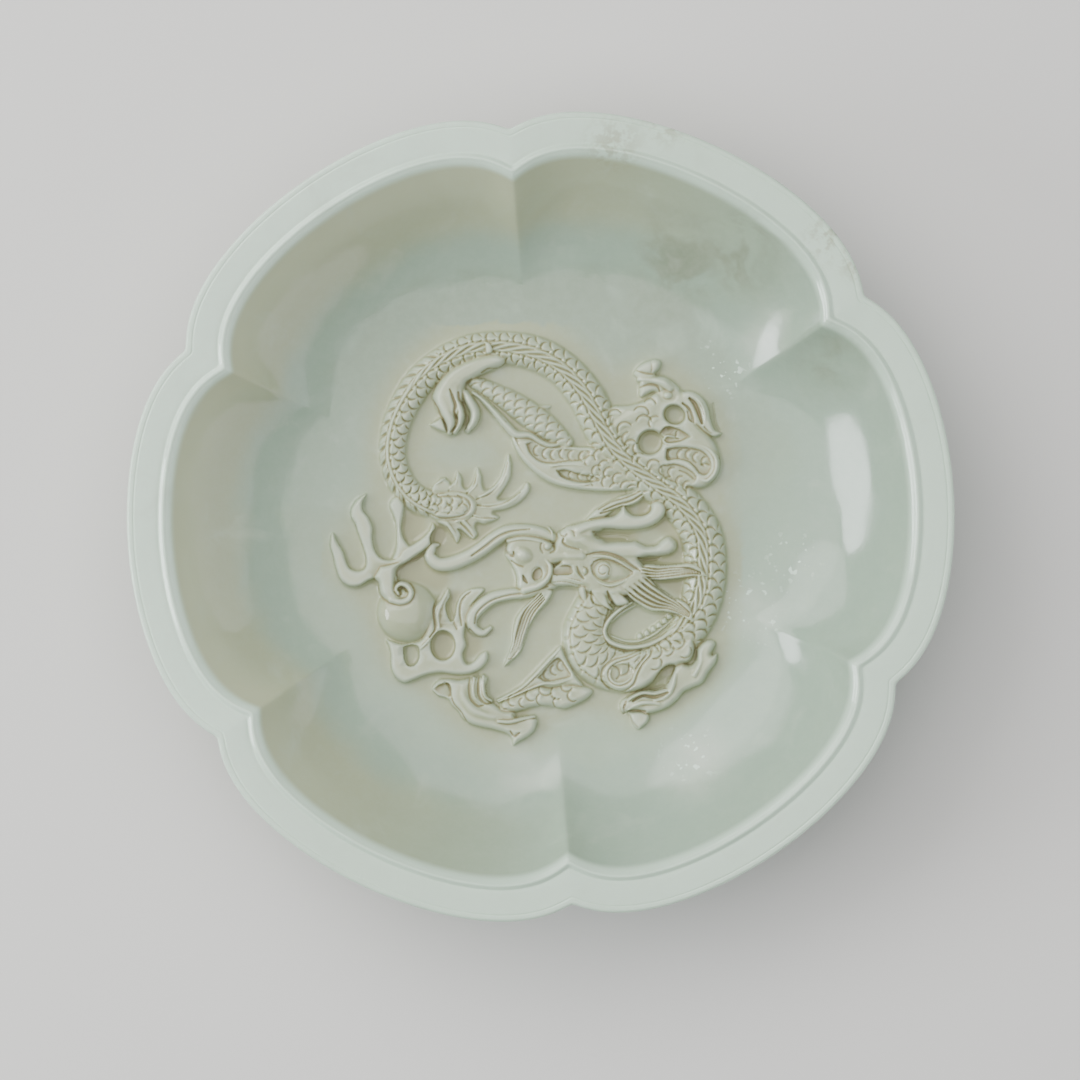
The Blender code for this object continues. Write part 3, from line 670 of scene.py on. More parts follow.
def carve_near_hind_leg(work):
    """The leg at the left, from the thigh over the scaled shin to the paw with its claw."""
    thigh = [(514, 436), (520, 434), (530, 436), (541, 443), (552, 446), (566, 444), (580, 446), (596, 446),
             (612, 452), (628, 470), (640, 484), (630, 490), (604, 491), (578, 489), (556, 485), (540, 477),
             (526, 464), (517, 449)]
    work.slab(thigh, 2.0, edge=6.0, moat=0.4, blend=0.4, dome=0.3)
    work.form([(556, 456, 9), (576, 458, 10), (596, 462, 11), (616, 470, 11), (630, 480, 8)], 2.5,
              shape=(2.4, 0.8), moat=0, blend=0.5)
    # its two scaled hollows
    hollow = [(526, 443), (533, 441), (542, 447), (556, 449), (572, 448), (590, 450), (584, 459), (566, 461),
              (552, 463), (540, 461), (530, 453)]
    work.lower(hollow, 1.3, edge=3.0)
    small = [(558, 470), (566, 469), (580, 473), (596, 476), (600, 480), (588, 482), (572, 480), (561, 476)]
    work.lower(small, 1.3, edge=2.5)
    work.cut([(557, 470, 1.0), (565, 477, 1.3), (578, 481, 1.4), (594, 481, 1.2)], 0.5)
    work.cut([(562, 483, 0.8), (580, 484.5, 1.2), (598, 481, 0.8)], -0.35)
    for x, y in ((545, 453), (553, 454), (562, 453), (571, 455), (582, 456), (536, 450)):
        arc(work, x + 3, y, 5.5, 180)
    for x, y in ((571, 475), (580, 476), (590, 477)):
        arc(work, x + 2, y, 4.0, 180, depth=0.4, width=1.0)
    # rows of scales where the thigh leaves the body
    for x, y in ((592, 456), (601, 450), (606, 461), (599, 466), (611, 468), (620, 474), (609, 477),
                 (598, 476),
                 (628, 482), (617, 484), (634, 486)):
        arc(work, x, y + 5, 6.5, 215)
    ridge = [(552, 465, 2.8), (566, 463.5, 2.6), (584, 465, 2.2), (600, 469, 1.2)]
    work.form(ridge, 2.75, shape=(2, 0.8), moat=0, blend=0.4)
    work.form([(513, 436, 3), (519, 449, 3.6), (528, 461, 4), (541, 472, 4.2), (558, 481, 4.2),
               (580, 486, 4),
               (606, 488, 3.6), (630, 488, 2)], 2.35, shape=(2, 0.8), moat=0, blend=0.4)
    # shin with scales, then the ribbon along its lower edge
    work.form([(566, 441, 8), (553, 431, 12), (537, 419, 14), (519, 406, 13), (503, 396, 11), (488, 388, 9),
               (474, 381, 7)], 2.7, detail=shin_scales, moat=0.4, shape=(2.4, 0.7), blend=0.35)
    work.form([(541, 407, 4), (546, 406, 3), (551, 405, 0.8)], 0.9, moat=0, shape=(3, 0.8))
    work.form([(472, 391, 2.2), (481, 397, 3.2), (493, 409, 4), (506, 424, 4.8), (516, 433.5, 5),
               (530, 434.6, 4.2),
               (541, 441, 3.6), (551, 444.5, 3.2), (563, 442.5, 1.8)], 2.6, shape=(2.2, 0.8), moat=0.45,
              blend=0.35)
    work.cut([(478, 393, 0.8), (493, 406, 1.1), (506, 421, 0.9)], 0.4)
    # paw: the back of the hand, then three fingers and the claw
    hand = [(497, 350), (486, 351), (474, 354), (462, 359), (450, 366), (441, 375), (434, 386), (431, 396),
            (436, 404), (442, 411), (448, 417), (456, 418), (462, 411), (463, 400), (464, 392), (466, 383),
            (474, 378), (484, 372), (494, 368), (503, 364), (506, 356)]
    work.slab(hand, 2.8, edge=8.0, moat=0.4, blend=0.5, dome=1.0)
    work.form([(446, 380, 5, 2.4), (440, 396, 8, 3.3), (445, 409, 8.5, 3.5), (450, 421, 7, 3.4),
               (449, 431, 3.5, 2.6)], moat=0, shape=(2.4, 0.8), blend=0.5)
    work.form([(455, 386, 4, 2.4), (457, 400, 5.2, 3.2), (460, 412, 5.4, 3.3), (458, 423, 4.6, 3.1),
               (454, 431, 3, 2.4)], moat=0.2, shape=(2.2, 0.8), blend=0.4)
    work.form([(462, 388, 4, 1.8), (468, 398, 5.5, 2.8), (474, 410, 6, 2.9), (473, 420, 5.2, 2.8),
               (467, 429, 3.6, 2.2)], moat=0.2, shape=(2.2, 0.8), blend=0.4)
    claw = [(428, 424), (434, 420), (440, 416), (444, 422), (446, 431), (438, 429)]
    work.slab(claw, 1.9, edge=3.0, moat=0.3)
    work.cut([(449, 388, 0.9), (452, 396, 1.5), (454.5, 404, 1.7), (453.5, 411, 1.5), (456.5, 418, 1.4),
              (455.5, 424, 1.6), (450, 431, 1.4)], 0.6, stain=0.38)
    work.cut([(457.5, 391, 1.0), (458.6, 398, 1.7), (463, 405.5, 1.8), (464.5, 412, 1.6), (467, 418, 1.5),
              (465, 425, 1.5), (466, 430, 1.4)], 0.6, stain=0.42)
    work.cut([(432, 399, 0.8), (436.5, 406, 1.2), (439.5, 413, 1.4), (443, 420, 1.3), (446, 430, 1.0)], 0.6,
             stain=0.4)
    work.cut([(430, 421, 0.8), (436, 419.5, 1.0), (440, 416, 0.9)], 0.4, stain=0.3)
    work.cut([(465, 388, 0.8), (466, 381, 1.2), (471, 377.5, 1.0)], 0.5, stain=0.2)
    work.cut([(481, 371, 1.0), (488, 367, 1.3), (497, 366.5, 1.2), (505, 362, 0.9)], 0.5)
    facet = [(484, 339), (490, 341), (493, 348), (491, 352), (485, 352)]
    work.slab(facet, 3.35, edge=2.5, moat=0.2)


def carve_far_hind_leg(work):
    """The leg at the upper right, with its pits, its oval thigh and its raised foot."""
    # the leg leaves the body, bends at the heel and ends in a raised foot
    leg = [(604, 408), (616, 404), (630, 403), (643, 399), (654, 392), (664, 386), (676, 385), (686, 390),
           (693, 398), (699, 408), (702, 422), (712, 434), (719, 446), (722, 460), (720, 473), (712, 484),
           (700, 488), (688, 487), (676, 494), (660, 482), (640, 466), (620, 440)]
    work.slab(leg, 2.2, edge=8.0, moat=0.35, blend=0.45, dome=0.45)
    work.form([(618, 424, 10), (634, 415, 12), (650, 408, 10), (664, 396, 7)], 2.9, shape=(2.2, 0.8), moat=0,
              blend=0.6)
    # oval thigh inside its rim, and the almond hollow above it
    hollow = [(668, 448), (680, 446), (694, 447), (704, 450), (711, 457), (713, 466), (708, 474), (701, 473),
              (694, 465), (682, 460), (668, 459)]
    work.lower(hollow, 1.45, edge=3.5)
    under = [(662, 466), (676, 463), (690, 468), (698, 477), (690, 486), (676, 482), (664, 476)]
    work.lower(under, 1.7, edge=3.0)
    almond = [(661, 437), (661, 430), (667, 425), (678, 427), (686, 431), (692, 435.5), (684, 440),
              (674, 443.5),
              (665, 443)]
    work.lower(almond, 1.2, edge=2.5)
    for x, y, reach in ((674, 453, 5.5), (684, 454, 5.5), (692, 454, 5), (700, 457, 5.5), (708, 461, 5)):
        arc(work, x, y, reach, 190)
    work.cut([(703, 464, 1.0), (707, 463, 1.1), (711, 464, 1.0)], 0.4)
    for x, y, reach in ((666, 470, 5.5), (675, 472, 5.5), (683, 481, 5.5), (690, 486, 5.5), (671, 481, 5)):
        arc(work, x, y, reach, 205)
    work.cut([(681, 470, 0.8), (688, 472.5, 1.2), (695, 478, 1.1)], 0.4)
    work.form([(666, 446, 1.8), (682, 445, 2.6), (698, 443.5, 3), (711, 449, 3.6), (718, 459, 4),
               (717, 471, 4),
               (709, 480, 3.8), (699, 478, 2.6)], 2.9, shape=(2, 0.8), moat=0.1, blend=0.4)
    work.form([(662, 462, 1.6), (678, 460, 2.6), (690, 463, 2.6), (697, 470, 1.6)], 2.6, shape=(2, 0.8),
              moat=0.2, blend=0.3)
    work.form([(660, 431, 1.8), (667, 424.4, 2.2), (680, 425.4, 2.2), (692, 434.6, 1.6)], 2.9,
              shape=(2, 0.8),
              moat=0, blend=0.3)
    work.form([(692, 436, 1.5), (682, 441.8, 2.2), (668, 443, 2.2), (661.5, 436, 1.8)], 2.8, shape=(2, 0.8),
              moat=0, blend=0.3)
    work.form([(664, 440, 1.6), (668, 435, 2.2), (676, 436, 1.8), (684, 437, 1.2)], 1.9, shape=(2, 0.8),
              moat=0)
    work.cut([(678, 431, 1.0), (677, 436, 1.1), (680, 438, 0.8)], 0.4)
    # pits that go down to the ground
    work.sink(651.5, 441.5, 12.8, 12, to=0.0, turn=30, edge=0.4)
    work.sink(676, 413.5, 10.8, 9.6, to=0.0, turn=-20, edge=0.4)
    # scales at its root
    for x, y, reach, turn in ((616, 415, 7, 250), (612, 421, 6, 200), (626, 429, 8, 245), (630, 438, 7, 185),
                              (632, 446, 7, 255), (642, 413, 8, 285), (645, 422, 8, 270), (657, 422, 7, 215),
                              (651, 403, 6, 280), (640, 448, 6, 190), (655, 466, 7, 245),
                              (640, 459, 7, 230)):
        arc(work, x, y, reach, turn, depth=0.45)
    # foot: knuckle, heel and the long upper finger
    foot = [(634, 372), (639, 365), (647, 360), (656, 357.5), (662, 360), (661, 367), (657, 373), (667, 375),
            (676, 381), (682, 389), (676, 397), (664, 396), (655, 391), (642, 396), (640, 388), (640, 381)]
    work.slab(foot, 2.0, edge=5.0, moat=0.3, blend=0.4, dome=0.3)
    work.form([(640, 378, 3), (652, 378.5, 4.5), (664, 381, 6.5), (671, 387, 6)], 3.2, shape=(2.2, 0.8),
              moat=0,
              blend=0.5)
    work.blob(669, 394, 8, 6.5, 2.9, moat=0.4, shape=(2.2, 0.8))
    work.cut([(638, 369, 0.9), (646, 371.5, 1.3), (654, 372.5, 0.9)], 0.5)
    work.cut([(641, 386, 0.9), (650, 383, 1.5), (658, 384.5, 1.3), (661, 390, 0.9)], 0.55, stain=0.2)
    work.cut([(652, 358.5, 0.8), (653, 366, 1.0), (652, 371, 0.8)], 0.25)
    work.cut([(619, 404.5, 0.8), (634, 403, 1.1), (648, 398, 1.1), (656, 391, 0.8)], 0.3)
    # strands at the back of the hock, and the outer claw
    strands = [(683, 390), (694, 390), (704, 396), (710, 406), (713, 419), (717, 429), (724, 432),
               (716, 436),
                (706, 431), (698, 425), (688, 419), (688, 408), (682, 399)]
    work.slab(strands, 2.3, edge=4.0, moat=0.2, blend=0.4)
    work.form([(690, 393, 2), (699, 398, 2.6), (705, 407, 2.8), (707, 418, 2.4), (706, 426, 1.4)], 2.9,
              shape=(2, 0.8), moat=0, blend=0.3)
    work.cut([(691, 397, 1.2), (696, 402, 2.4), (700, 411, 2.4), (703.5, 422, 1.3)], 1.0, stain=0.45)
    work.cut([(684, 402, 1.0), (690, 407, 1.5), (693.5, 415, 1.5), (695, 421, 1.0)], 0.8, stain=0.3)
    work.cut([(689, 411, 1.2), (691, 417, 1.8), (693, 420, 1.2)], 0.7, stain=0.3)
    work.cut([(715, 402, 0.8), (716, 412, 1.1), (717.5, 422, 1.4), (722, 431, 1.4)], 0.6, stain=0.25)
    work.cut([(706, 426, 0.9), (711, 431, 1.2), (718, 433.5, 1.0)], 0.45)


def carve_near_foreleg(work):
    """The leg at the bottom, from the web of the upper arm to the open paw."""
    # the three-cornered web of the upper arm, with its scaled hollow
    web = [(496, 702), (510, 696), (524, 687), (537, 674), (549, 661), (558, 649), (562, 648), (568, 662),
           (576, 676), (584, 688), (570, 688), (552, 690), (538, 689), (522, 694), (508, 702)]
    work.slab(web, 2.1, edge=4.0, moat=0.3, blend=0.4)
    hollow = [(538, 679), (547, 668), (554, 661), (560, 659.5), (566, 667), (571, 677), (560, 681),
              (546, 683)]
    work.lower(hollow, 1.15, edge=3.0)
    for x, y, reach in ((563, 667, 5.5), (556, 671, 5.5), (549, 676, 5.5)):
        arc(work, x, y, reach, 165, depth=0.4)
    work.form([(560, 650, 2.2), (548, 663, 2.6), (535, 677, 2.6), (522, 689, 2.2), (508, 697, 1.8),
               (497, 702, 1.2)],
              2.6, shape=(2, 0.8), moat=0, blend=0.3)
    work.form([(574, 679, 1.8), (558, 684.5, 2.6), (544, 685, 2.6), (530, 690, 2.4), (514, 697, 2),
               (498, 703.5, 1.2)],
              2.5, shape=(2, 0.8), moat=0.25, blend=0.3)
    # forearm
    arm = [(499, 705), (510, 699), (524, 693), (538, 687), (552, 689), (566, 685), (580, 686), (593, 691),
           (590, 699), (578, 706), (564, 711), (548, 708), (534, 709), (520, 713), (508, 716), (498, 713)]
    work.slab(arm, 2.0, edge=7.0, moat=0.3, blend=0.4, dome=0.4)
    for x, y, reach, turn in ((506, 706, 5, 160), (514, 702, 6, 170), (532, 696, 6.5, 150),
                              (546, 690, 7, 115),
                              (543, 701, 6.5, 160), (558, 694, 7, 150), (567, 687, 6, 100),
                              (524, 704, 5, 170),
                              (560, 704, 6.5, 150), (574, 697, 6, 140)):
        arc(work, x, y, reach, turn, depth=0.4)
    # paw
    paw = [(470, 679), (458, 681), (447, 680), (437, 682), (431, 690), (437, 697), (446, 700), (451, 707),
           (457, 713), (462, 720), (470, 726), (482, 729.5), (494, 732), (505, 735.5), (511, 740),
           (513, 747),
           (519, 744), (528, 739), (535, 732), (537, 721), (528, 717), (518, 719.5), (513, 713), (503, 711),
           (495, 706), (488, 700), (486, 688), (486, 678)]
    work.slab(paw, 2.2, edge=6.0, moat=0.4, blend=0.4, dome=0.3)
    work.form([(462, 688, 6), (463, 699, 8), (472, 711, 9), (486, 717, 8), (500, 720, 6)], 3.1,
              shape=(2, 0.9),
              moat=0, blend=0.6)
    lowered = [(432, 691), (438, 686), (447, 684.5), (450, 690), (449, 698), (440, 697)]
    work.lower(lowered, 1.0, edge=3.0)
    work.cut([(444, 683, 0.9), (448.5, 688, 1.5), (450, 696, 1.2), (453, 705, 0.9), (460, 713, 0.9),
              (466, 723, 0.7)], 0.45, stain=0.35)
    work.cut([(469, 679, 1.0), (468.5, 690, 1.4), (470, 700, 1.4), (477, 707.5, 1.3), (482.5, 707, 0.9)],
             0.6)
    work.cut([(478.5, 676, 1.0), (477.5, 688, 1.5), (478.5, 698, 1.5), (485, 705, 1.3), (494, 704, 0.9)],
             0.6)
    work.form([(473.5, 680, 2.6), (472.5, 690, 3), (474, 699, 3), (480, 704.5, 2.2)], 3.0, moat=0,
              shape=(2, 0.8))
    work.form([(483, 678, 2.2), (482.5, 689, 2.6), (484.5, 698, 2.6), (491, 702.5, 1.8)], 2.8, moat=0,
              shape=(2, 0.8))
    work.form([(498, 723, 3.5), (510, 723.5, 3.8), (522, 721, 3.2), (534, 718.5, 2)], 3.1, moat=0.2,
              shape=(2, 0.8))
    work.form([(506, 731, 4), (518, 733, 5), (528, 729, 4)], 2.4, moat=0.2, shape=(2, 0.8))
    work.cut([(510, 733, 0.9), (514, 738, 1.4), (519, 735, 1.1)], 0.5, stain=0.3)
    work.cut([(512, 716, 0.9), (516, 719.5, 1.2), (524, 718, 0.8)], 0.3)


def carve_far_foreleg(work):
    """The leg at the lower right, with the whorl on its shoulder."""
    # upper arm, then the shoulder's whorl on it
    arm = [(600, 676), (606, 662), (618, 655), (636, 651), (652, 650), (668, 648), (684, 640), (694, 636),
           (697, 648), (692, 662), (680, 668), (668, 670), (656, 682), (644, 691), (628, 694), (611, 690)]
    work.slab(arm, 3.1, edge=7.0, moat=0.3, blend=0.4, dome=0.35)
    whorl = [(642, 651), (628, 657), (614, 661), (604, 669), (602, 680), (609, 689), (622, 693), (634, 686),
             (639, 674), (644, 665), (651, 657), (653, 650)]
    work.cut([(x, y, 1.2) for x, y in whorl], 0.5)
    work.cut([(x, y, 1.2) for x, y in ((641, 654), (629, 660), (616, 665), (609, 673), (611, 683),
                                       (621, 687),
                                       (631, 682), (635, 673), (641, 664), (648, 656))], 0.5)
    hollow = [(612, 669), (619, 665), (628, 665), (634, 669), (633, 677), (626, 683), (617, 684), (611, 678)]
    work.lower(hollow, 2.65, edge=3.5)
    work.cut([(614, 667, 0.9), (619, 670, 1.3), (620.5, 676, 1.3), (617.5, 680, 0.9)], 0.4)
    work.cut([(629.5, 664, 0.8), (630, 670, 1.2), (628, 674.5, 1.2), (622, 677, 0.9)], 0.4)
    for k in range(3):
        work.cut([(636 + 3.5 * k, 663 - k, 0.8), (641 + 3 * k, 657 - k, 1.2), (642 + 2.5 * k, 650 + k, 0.8)],
                 0.4)
    for x, y, reach, turn in ((655, 652, 8, 20), (668, 650, 7, 15), (678, 642, 8, 60), (686, 652, 7, 45),
                              (656, 664, 7, 40)):
        arc(work, x, y, reach, turn, depth=0.35)
    # hand
    hand = [(671, 670), (682, 663), (691, 666), (697, 661), (698, 650), (704, 643), (713, 640.5),
            (717.5, 645),
            (714, 655), (719, 655), (718, 664), (711, 674), (704, 685), (694, 690), (686, 694), (679, 702),
            (670, 709), (658, 714), (648, 716), (640, 713), (630, 713), (624, 715), (620.5, 707), (625, 700),
            (636, 695), (648, 690), (660, 692), (667, 687), (669, 679)]
    work.slab(hand, 2.5, edge=7.0, moat=0.4, blend=0.4, dome=0.4)
    work.form([(676, 676, 5), (674, 686, 6), (668, 696, 6), (656, 702, 5)], 3.5, shape=(2, 0.9), moat=0,
              blend=0.6)
    work.form([(696, 676, 6), (702, 664, 5), (703, 652, 4.5), (710, 644, 3.5)], 3.3, shape=(2, 0.9), moat=0,
              blend=0.5)
    work.form([(668, 692, 3), (656, 695, 3), (644, 694.5, 3), (633, 699, 2.8), (626, 705, 2)], 3.4,
              shape=(2, 0.8),
              moat=0.2, blend=0.3)
    work.form([(660, 705, 4), (646, 704, 5), (636, 707, 4), (629, 711, 2.5)], 3.3, shape=(2, 0.8), moat=0.3,
              blend=0.3)
    work.cut([(669, 694, 1.2), (661, 698.5, 1.9), (652, 698.5, 1.7), (644, 697.5, 1.3), (634, 702.5, 1.1)],
             0.7,
             stain=0.3)
    work.cut([(648, 690.5, 1.1), (656, 690, 1.7), (666, 687, 1.3)], 0.7, stain=0.25)
    pit = [(655, 682), (660, 674), (668, 667), (676, 667), (674, 676), (668, 685), (660, 686)]
    work.lower(pit, 0.2, edge=3.5, stain=0.15)
    work.cut([(629, 713, 1.0), (636, 712.5, 1.3), (646, 713, 1.2)], 0.6, stain=0.4)
    work.cut([(627, 703, 1.1), (625, 709, 1.7), (625, 715, 1.2)], 0.8, stain=0.6)
    work.cut([(698, 652, 1.0), (697.5, 658, 1.4), (696, 661, 1.0)], 0.6, stain=0.4)
    claw = [(630, 714), (641, 713), (650, 716), (650, 722), (645, 728), (639, 731), (633, 725)]
    work.slab(claw, 1.7, edge=4.0, moat=0.3)
    work.cut([(630, 717, 0.9), (634, 724, 1.2), (639, 729, 0.9)], 0.4, stain=0.4)


def carve_pearl(work):
    """The pearl, and the flames that rise above and below it."""
    work.blob(406, 613, 31, 31, 3.7, shape=(2.2, 0.62), moat=0, blend=0.35)
    upper = [(365, 493), (361, 502), (361.5, 510), (367, 517), (371, 527), (371, 538), (373, 549),
             (379, 557),
             (388, 560), (396, 557), (402, 549), (412, 544), (421, 538), (428, 531), (432, 523), (435, 532),
             (433, 541), (426, 549), (415, 556), (405, 563), (398, 567), (395, 573), (397, 580), (393, 592),
             (383, 595), (378, 588), (376, 580), (368, 581), (358, 586.5), (348, 587), (339, 581),
             (334, 570),
             (331, 557), (328, 545), (330.5, 533), (336, 543), (341, 551), (344, 560), (348, 568),
             (356, 571),
             (363, 568), (364, 558), (361, 547), (357, 536), (353, 524), (349, 516), (350, 507), (356, 499)]
    work.slab(upper, 2.3, edge=3.4, moat=0, blend=0.35)
    wall = [(390, 560), (394, 550), (395, 538), (394, 522), (388, 504), (396, 496), (403, 504), (402, 515),
            (400, 527), (402, 537), (408, 545), (414, 546), (404, 553), (398, 562)]
    work.slab(wall, 1.9, edge=4.0, moat=0, blend=0.5)
    work.sink(384, 545, 10.5, 14, to=0.5, edge=0.35)
    work.sink(384, 548, 8, 9, to=-0.1, edge=0.3)
    work.sink(411, 528, 9.5, 13, to=-0.1, turn=-12, edge=0.25, stain=0.06)
    work.sink(437, 537, 7.5, 10.5, to=-0.3, turn=-20, edge=0.3, stain=0.25)
    # the flame's foot winds up on the pearl
    neck = [(378, 566), (400, 562), (395.5, 570), (394.5, 580), (396, 592), (403, 597.5), (412, 597),
            (408, 604.5),
            (398, 608), (387, 604), (379, 595), (376.5, 584), (372, 577)]
    work.slab(neck, 3.75, edge=6.0, moat=0.3, blend=0.6)
    work.form([(390, 600, 5, 3.9), (399, 602.5, 5, 4.0), (407, 600, 4.6, 4.05), (410, 593, 4, 4.0),
               (406, 586.5, 3.6, 3.9), (399, 584.5, 3.2, 3.8), (394.5, 589, 2.6, 3.7),
               (397, 594.5, 2.2, 3.7)],
              shape=(3.2, 0.8), moat=0.2, blend=0.4)
    work.cut([(405, 592, 0.8), (402.5, 589, 1.0), (399.5, 590, 1.0), (400, 594.5, 0.8)], 0.4, stain=0.1)
    work.cut([(396, 580, 0.9), (396, 572, 1.2), (401, 567, 1.2), (409, 562, 1.3), (417, 558, 1.3),
              (424, 553, 1.0)],
             0.5, stain=0.55)
    lower = [(384, 640), (388, 650), (389, 661), (390, 671), (395, 680), (403, 684.5), (413, 681.5),
             (426, 676.5),
             (440, 674.5), (457, 676.5), (470, 675.5), (481, 670), (487.5, 661), (486.5, 653), (480, 655),
             (473, 662.5), (466, 664.5), (462.5, 656), (465.5, 646), (464, 636), (466, 624), (469, 611),
             (476, 600), (484, 590), (473, 589), (461, 595), (456, 606), (454, 617), (450, 622), (446, 614),
             (445, 605), (449, 597), (447, 589), (440, 600), (433, 609), (428, 622), (420, 640), (404, 645)]
    work.slab(lower, 2.0, edge=4.2, moat=0.1, blend=0.5)
    work.lower([(436, 606), (449, 593), (470, 590), (482, 592), (470, 606), (465, 622), (448, 630),
                (434, 626)], 1.3,
               edge=9.0)
    work.sink(442, 646.5, 12.5, 15, to=-0.1, edge=0.2, stain=0.08)
    pit = [(402, 648), (410, 645.5), (417, 648), (418, 658), (414, 666), (407, 667), (403, 660)]
    work.lower(pit, -0.1, edge=2.2)
    work.cut([(417, 652, 1.0), (424, 645, 1.3), (431, 638, 1.4), (436, 632, 1.0)], -0.5)
    work.cut([(447, 592, 0.9), (441, 604, 1.3), (437, 615, 1.3), (438, 628, 1.0)], -0.4)
    work.cut([(451, 599, 0.9), (449, 609, 1.4), (452, 620, 1.3), (456, 630, 0.9)], 0.4)
    work.cut([(470, 592, 0.9), (461, 601, 1.2), (459, 613, 1.2), (461, 626, 0.9)], 0.4)
    work.cut([(437, 598, 0.8), (433, 608, 1.3), (433, 618, 1.4), (434, 630, 1.2), (429, 638, 1.0)], 0.6,
             stain=0.35)


def carve_whiskers(work):
    """The two long whiskers and the beard."""
    upper = [(553, 538, 6), (540, 533, 7), (522, 531, 8), (506, 533, 8), (492, 541, 8), (480, 550, 8),
             (466, 558, 8), (450, 564, 8), (437, 564, 7.5), (429, 556, 6.5), (432, 547, 4.5), (437, 545, 2)]
    work.form(upper, 2.5, shape=(3, 0.7), moat=0.4, blend=0.4)
    work.cut([(530, 529, 0.7), (512, 531, 1.2), (498, 536.5, 1.7), (484, 547, 1.6), (471, 556, 1.0)], 0.55)
    work.cut([(505, 526, 0.8), (492, 532, 1.2), (480, 542, 1.2), (468, 552, 0.8)], -0.2)
    lower = [(558, 583, 5), (544, 588, 6.5), (527, 593, 6.5), (508, 595, 6.5), (492, 599, 7),
             (479, 608, 7.5),
             (471, 619, 7), (473, 629, 5.5), (482, 634, 4.4), (490, 629, 2)]
    work.form(lower, 2.4, shape=(3, 0.7), moat=0.4, blend=0.4)
    work.cut([(548, 587, 0.8), (528, 593, 1.3), (508, 596, 1.4), (490, 602, 1.4), (477, 613, 1.2),
              (474, 624, 0.8)],
             0.45)
    work.cut([(492, 631, 0.8), (486, 637, 1.4), (477, 637, 1.3), (469, 630, 1.0)], 0.5, stain=0.4)
    beard = [(546, 588), (553, 592), (548, 602), (538, 613), (531, 624), (526, 637), (521, 651), (513, 660),
             (504, 667), (508, 656), (512, 644), (513, 632), (516, 619), (524, 608), (534, 598), (541, 591)]
    work.slab(beard, 2.0, edge=2.6, moat=0.3, blend=0.25)
    for shift in (-4.4, -1.5, 1.5, 4.4):
        work.cut([(543 + shift * 0.4, 597 + shift * 0.6, 0.7), (529 + shift * 0.9, 613 + shift * 0.3, 1.3),
                  (521.5 + shift * 0.95, 633, 1.4), (517 + shift * 0.8, 648, 1.2),
                  (509.5 + shift * 0.4, 660, 0.7)],
                 0.9, stain=0.25)


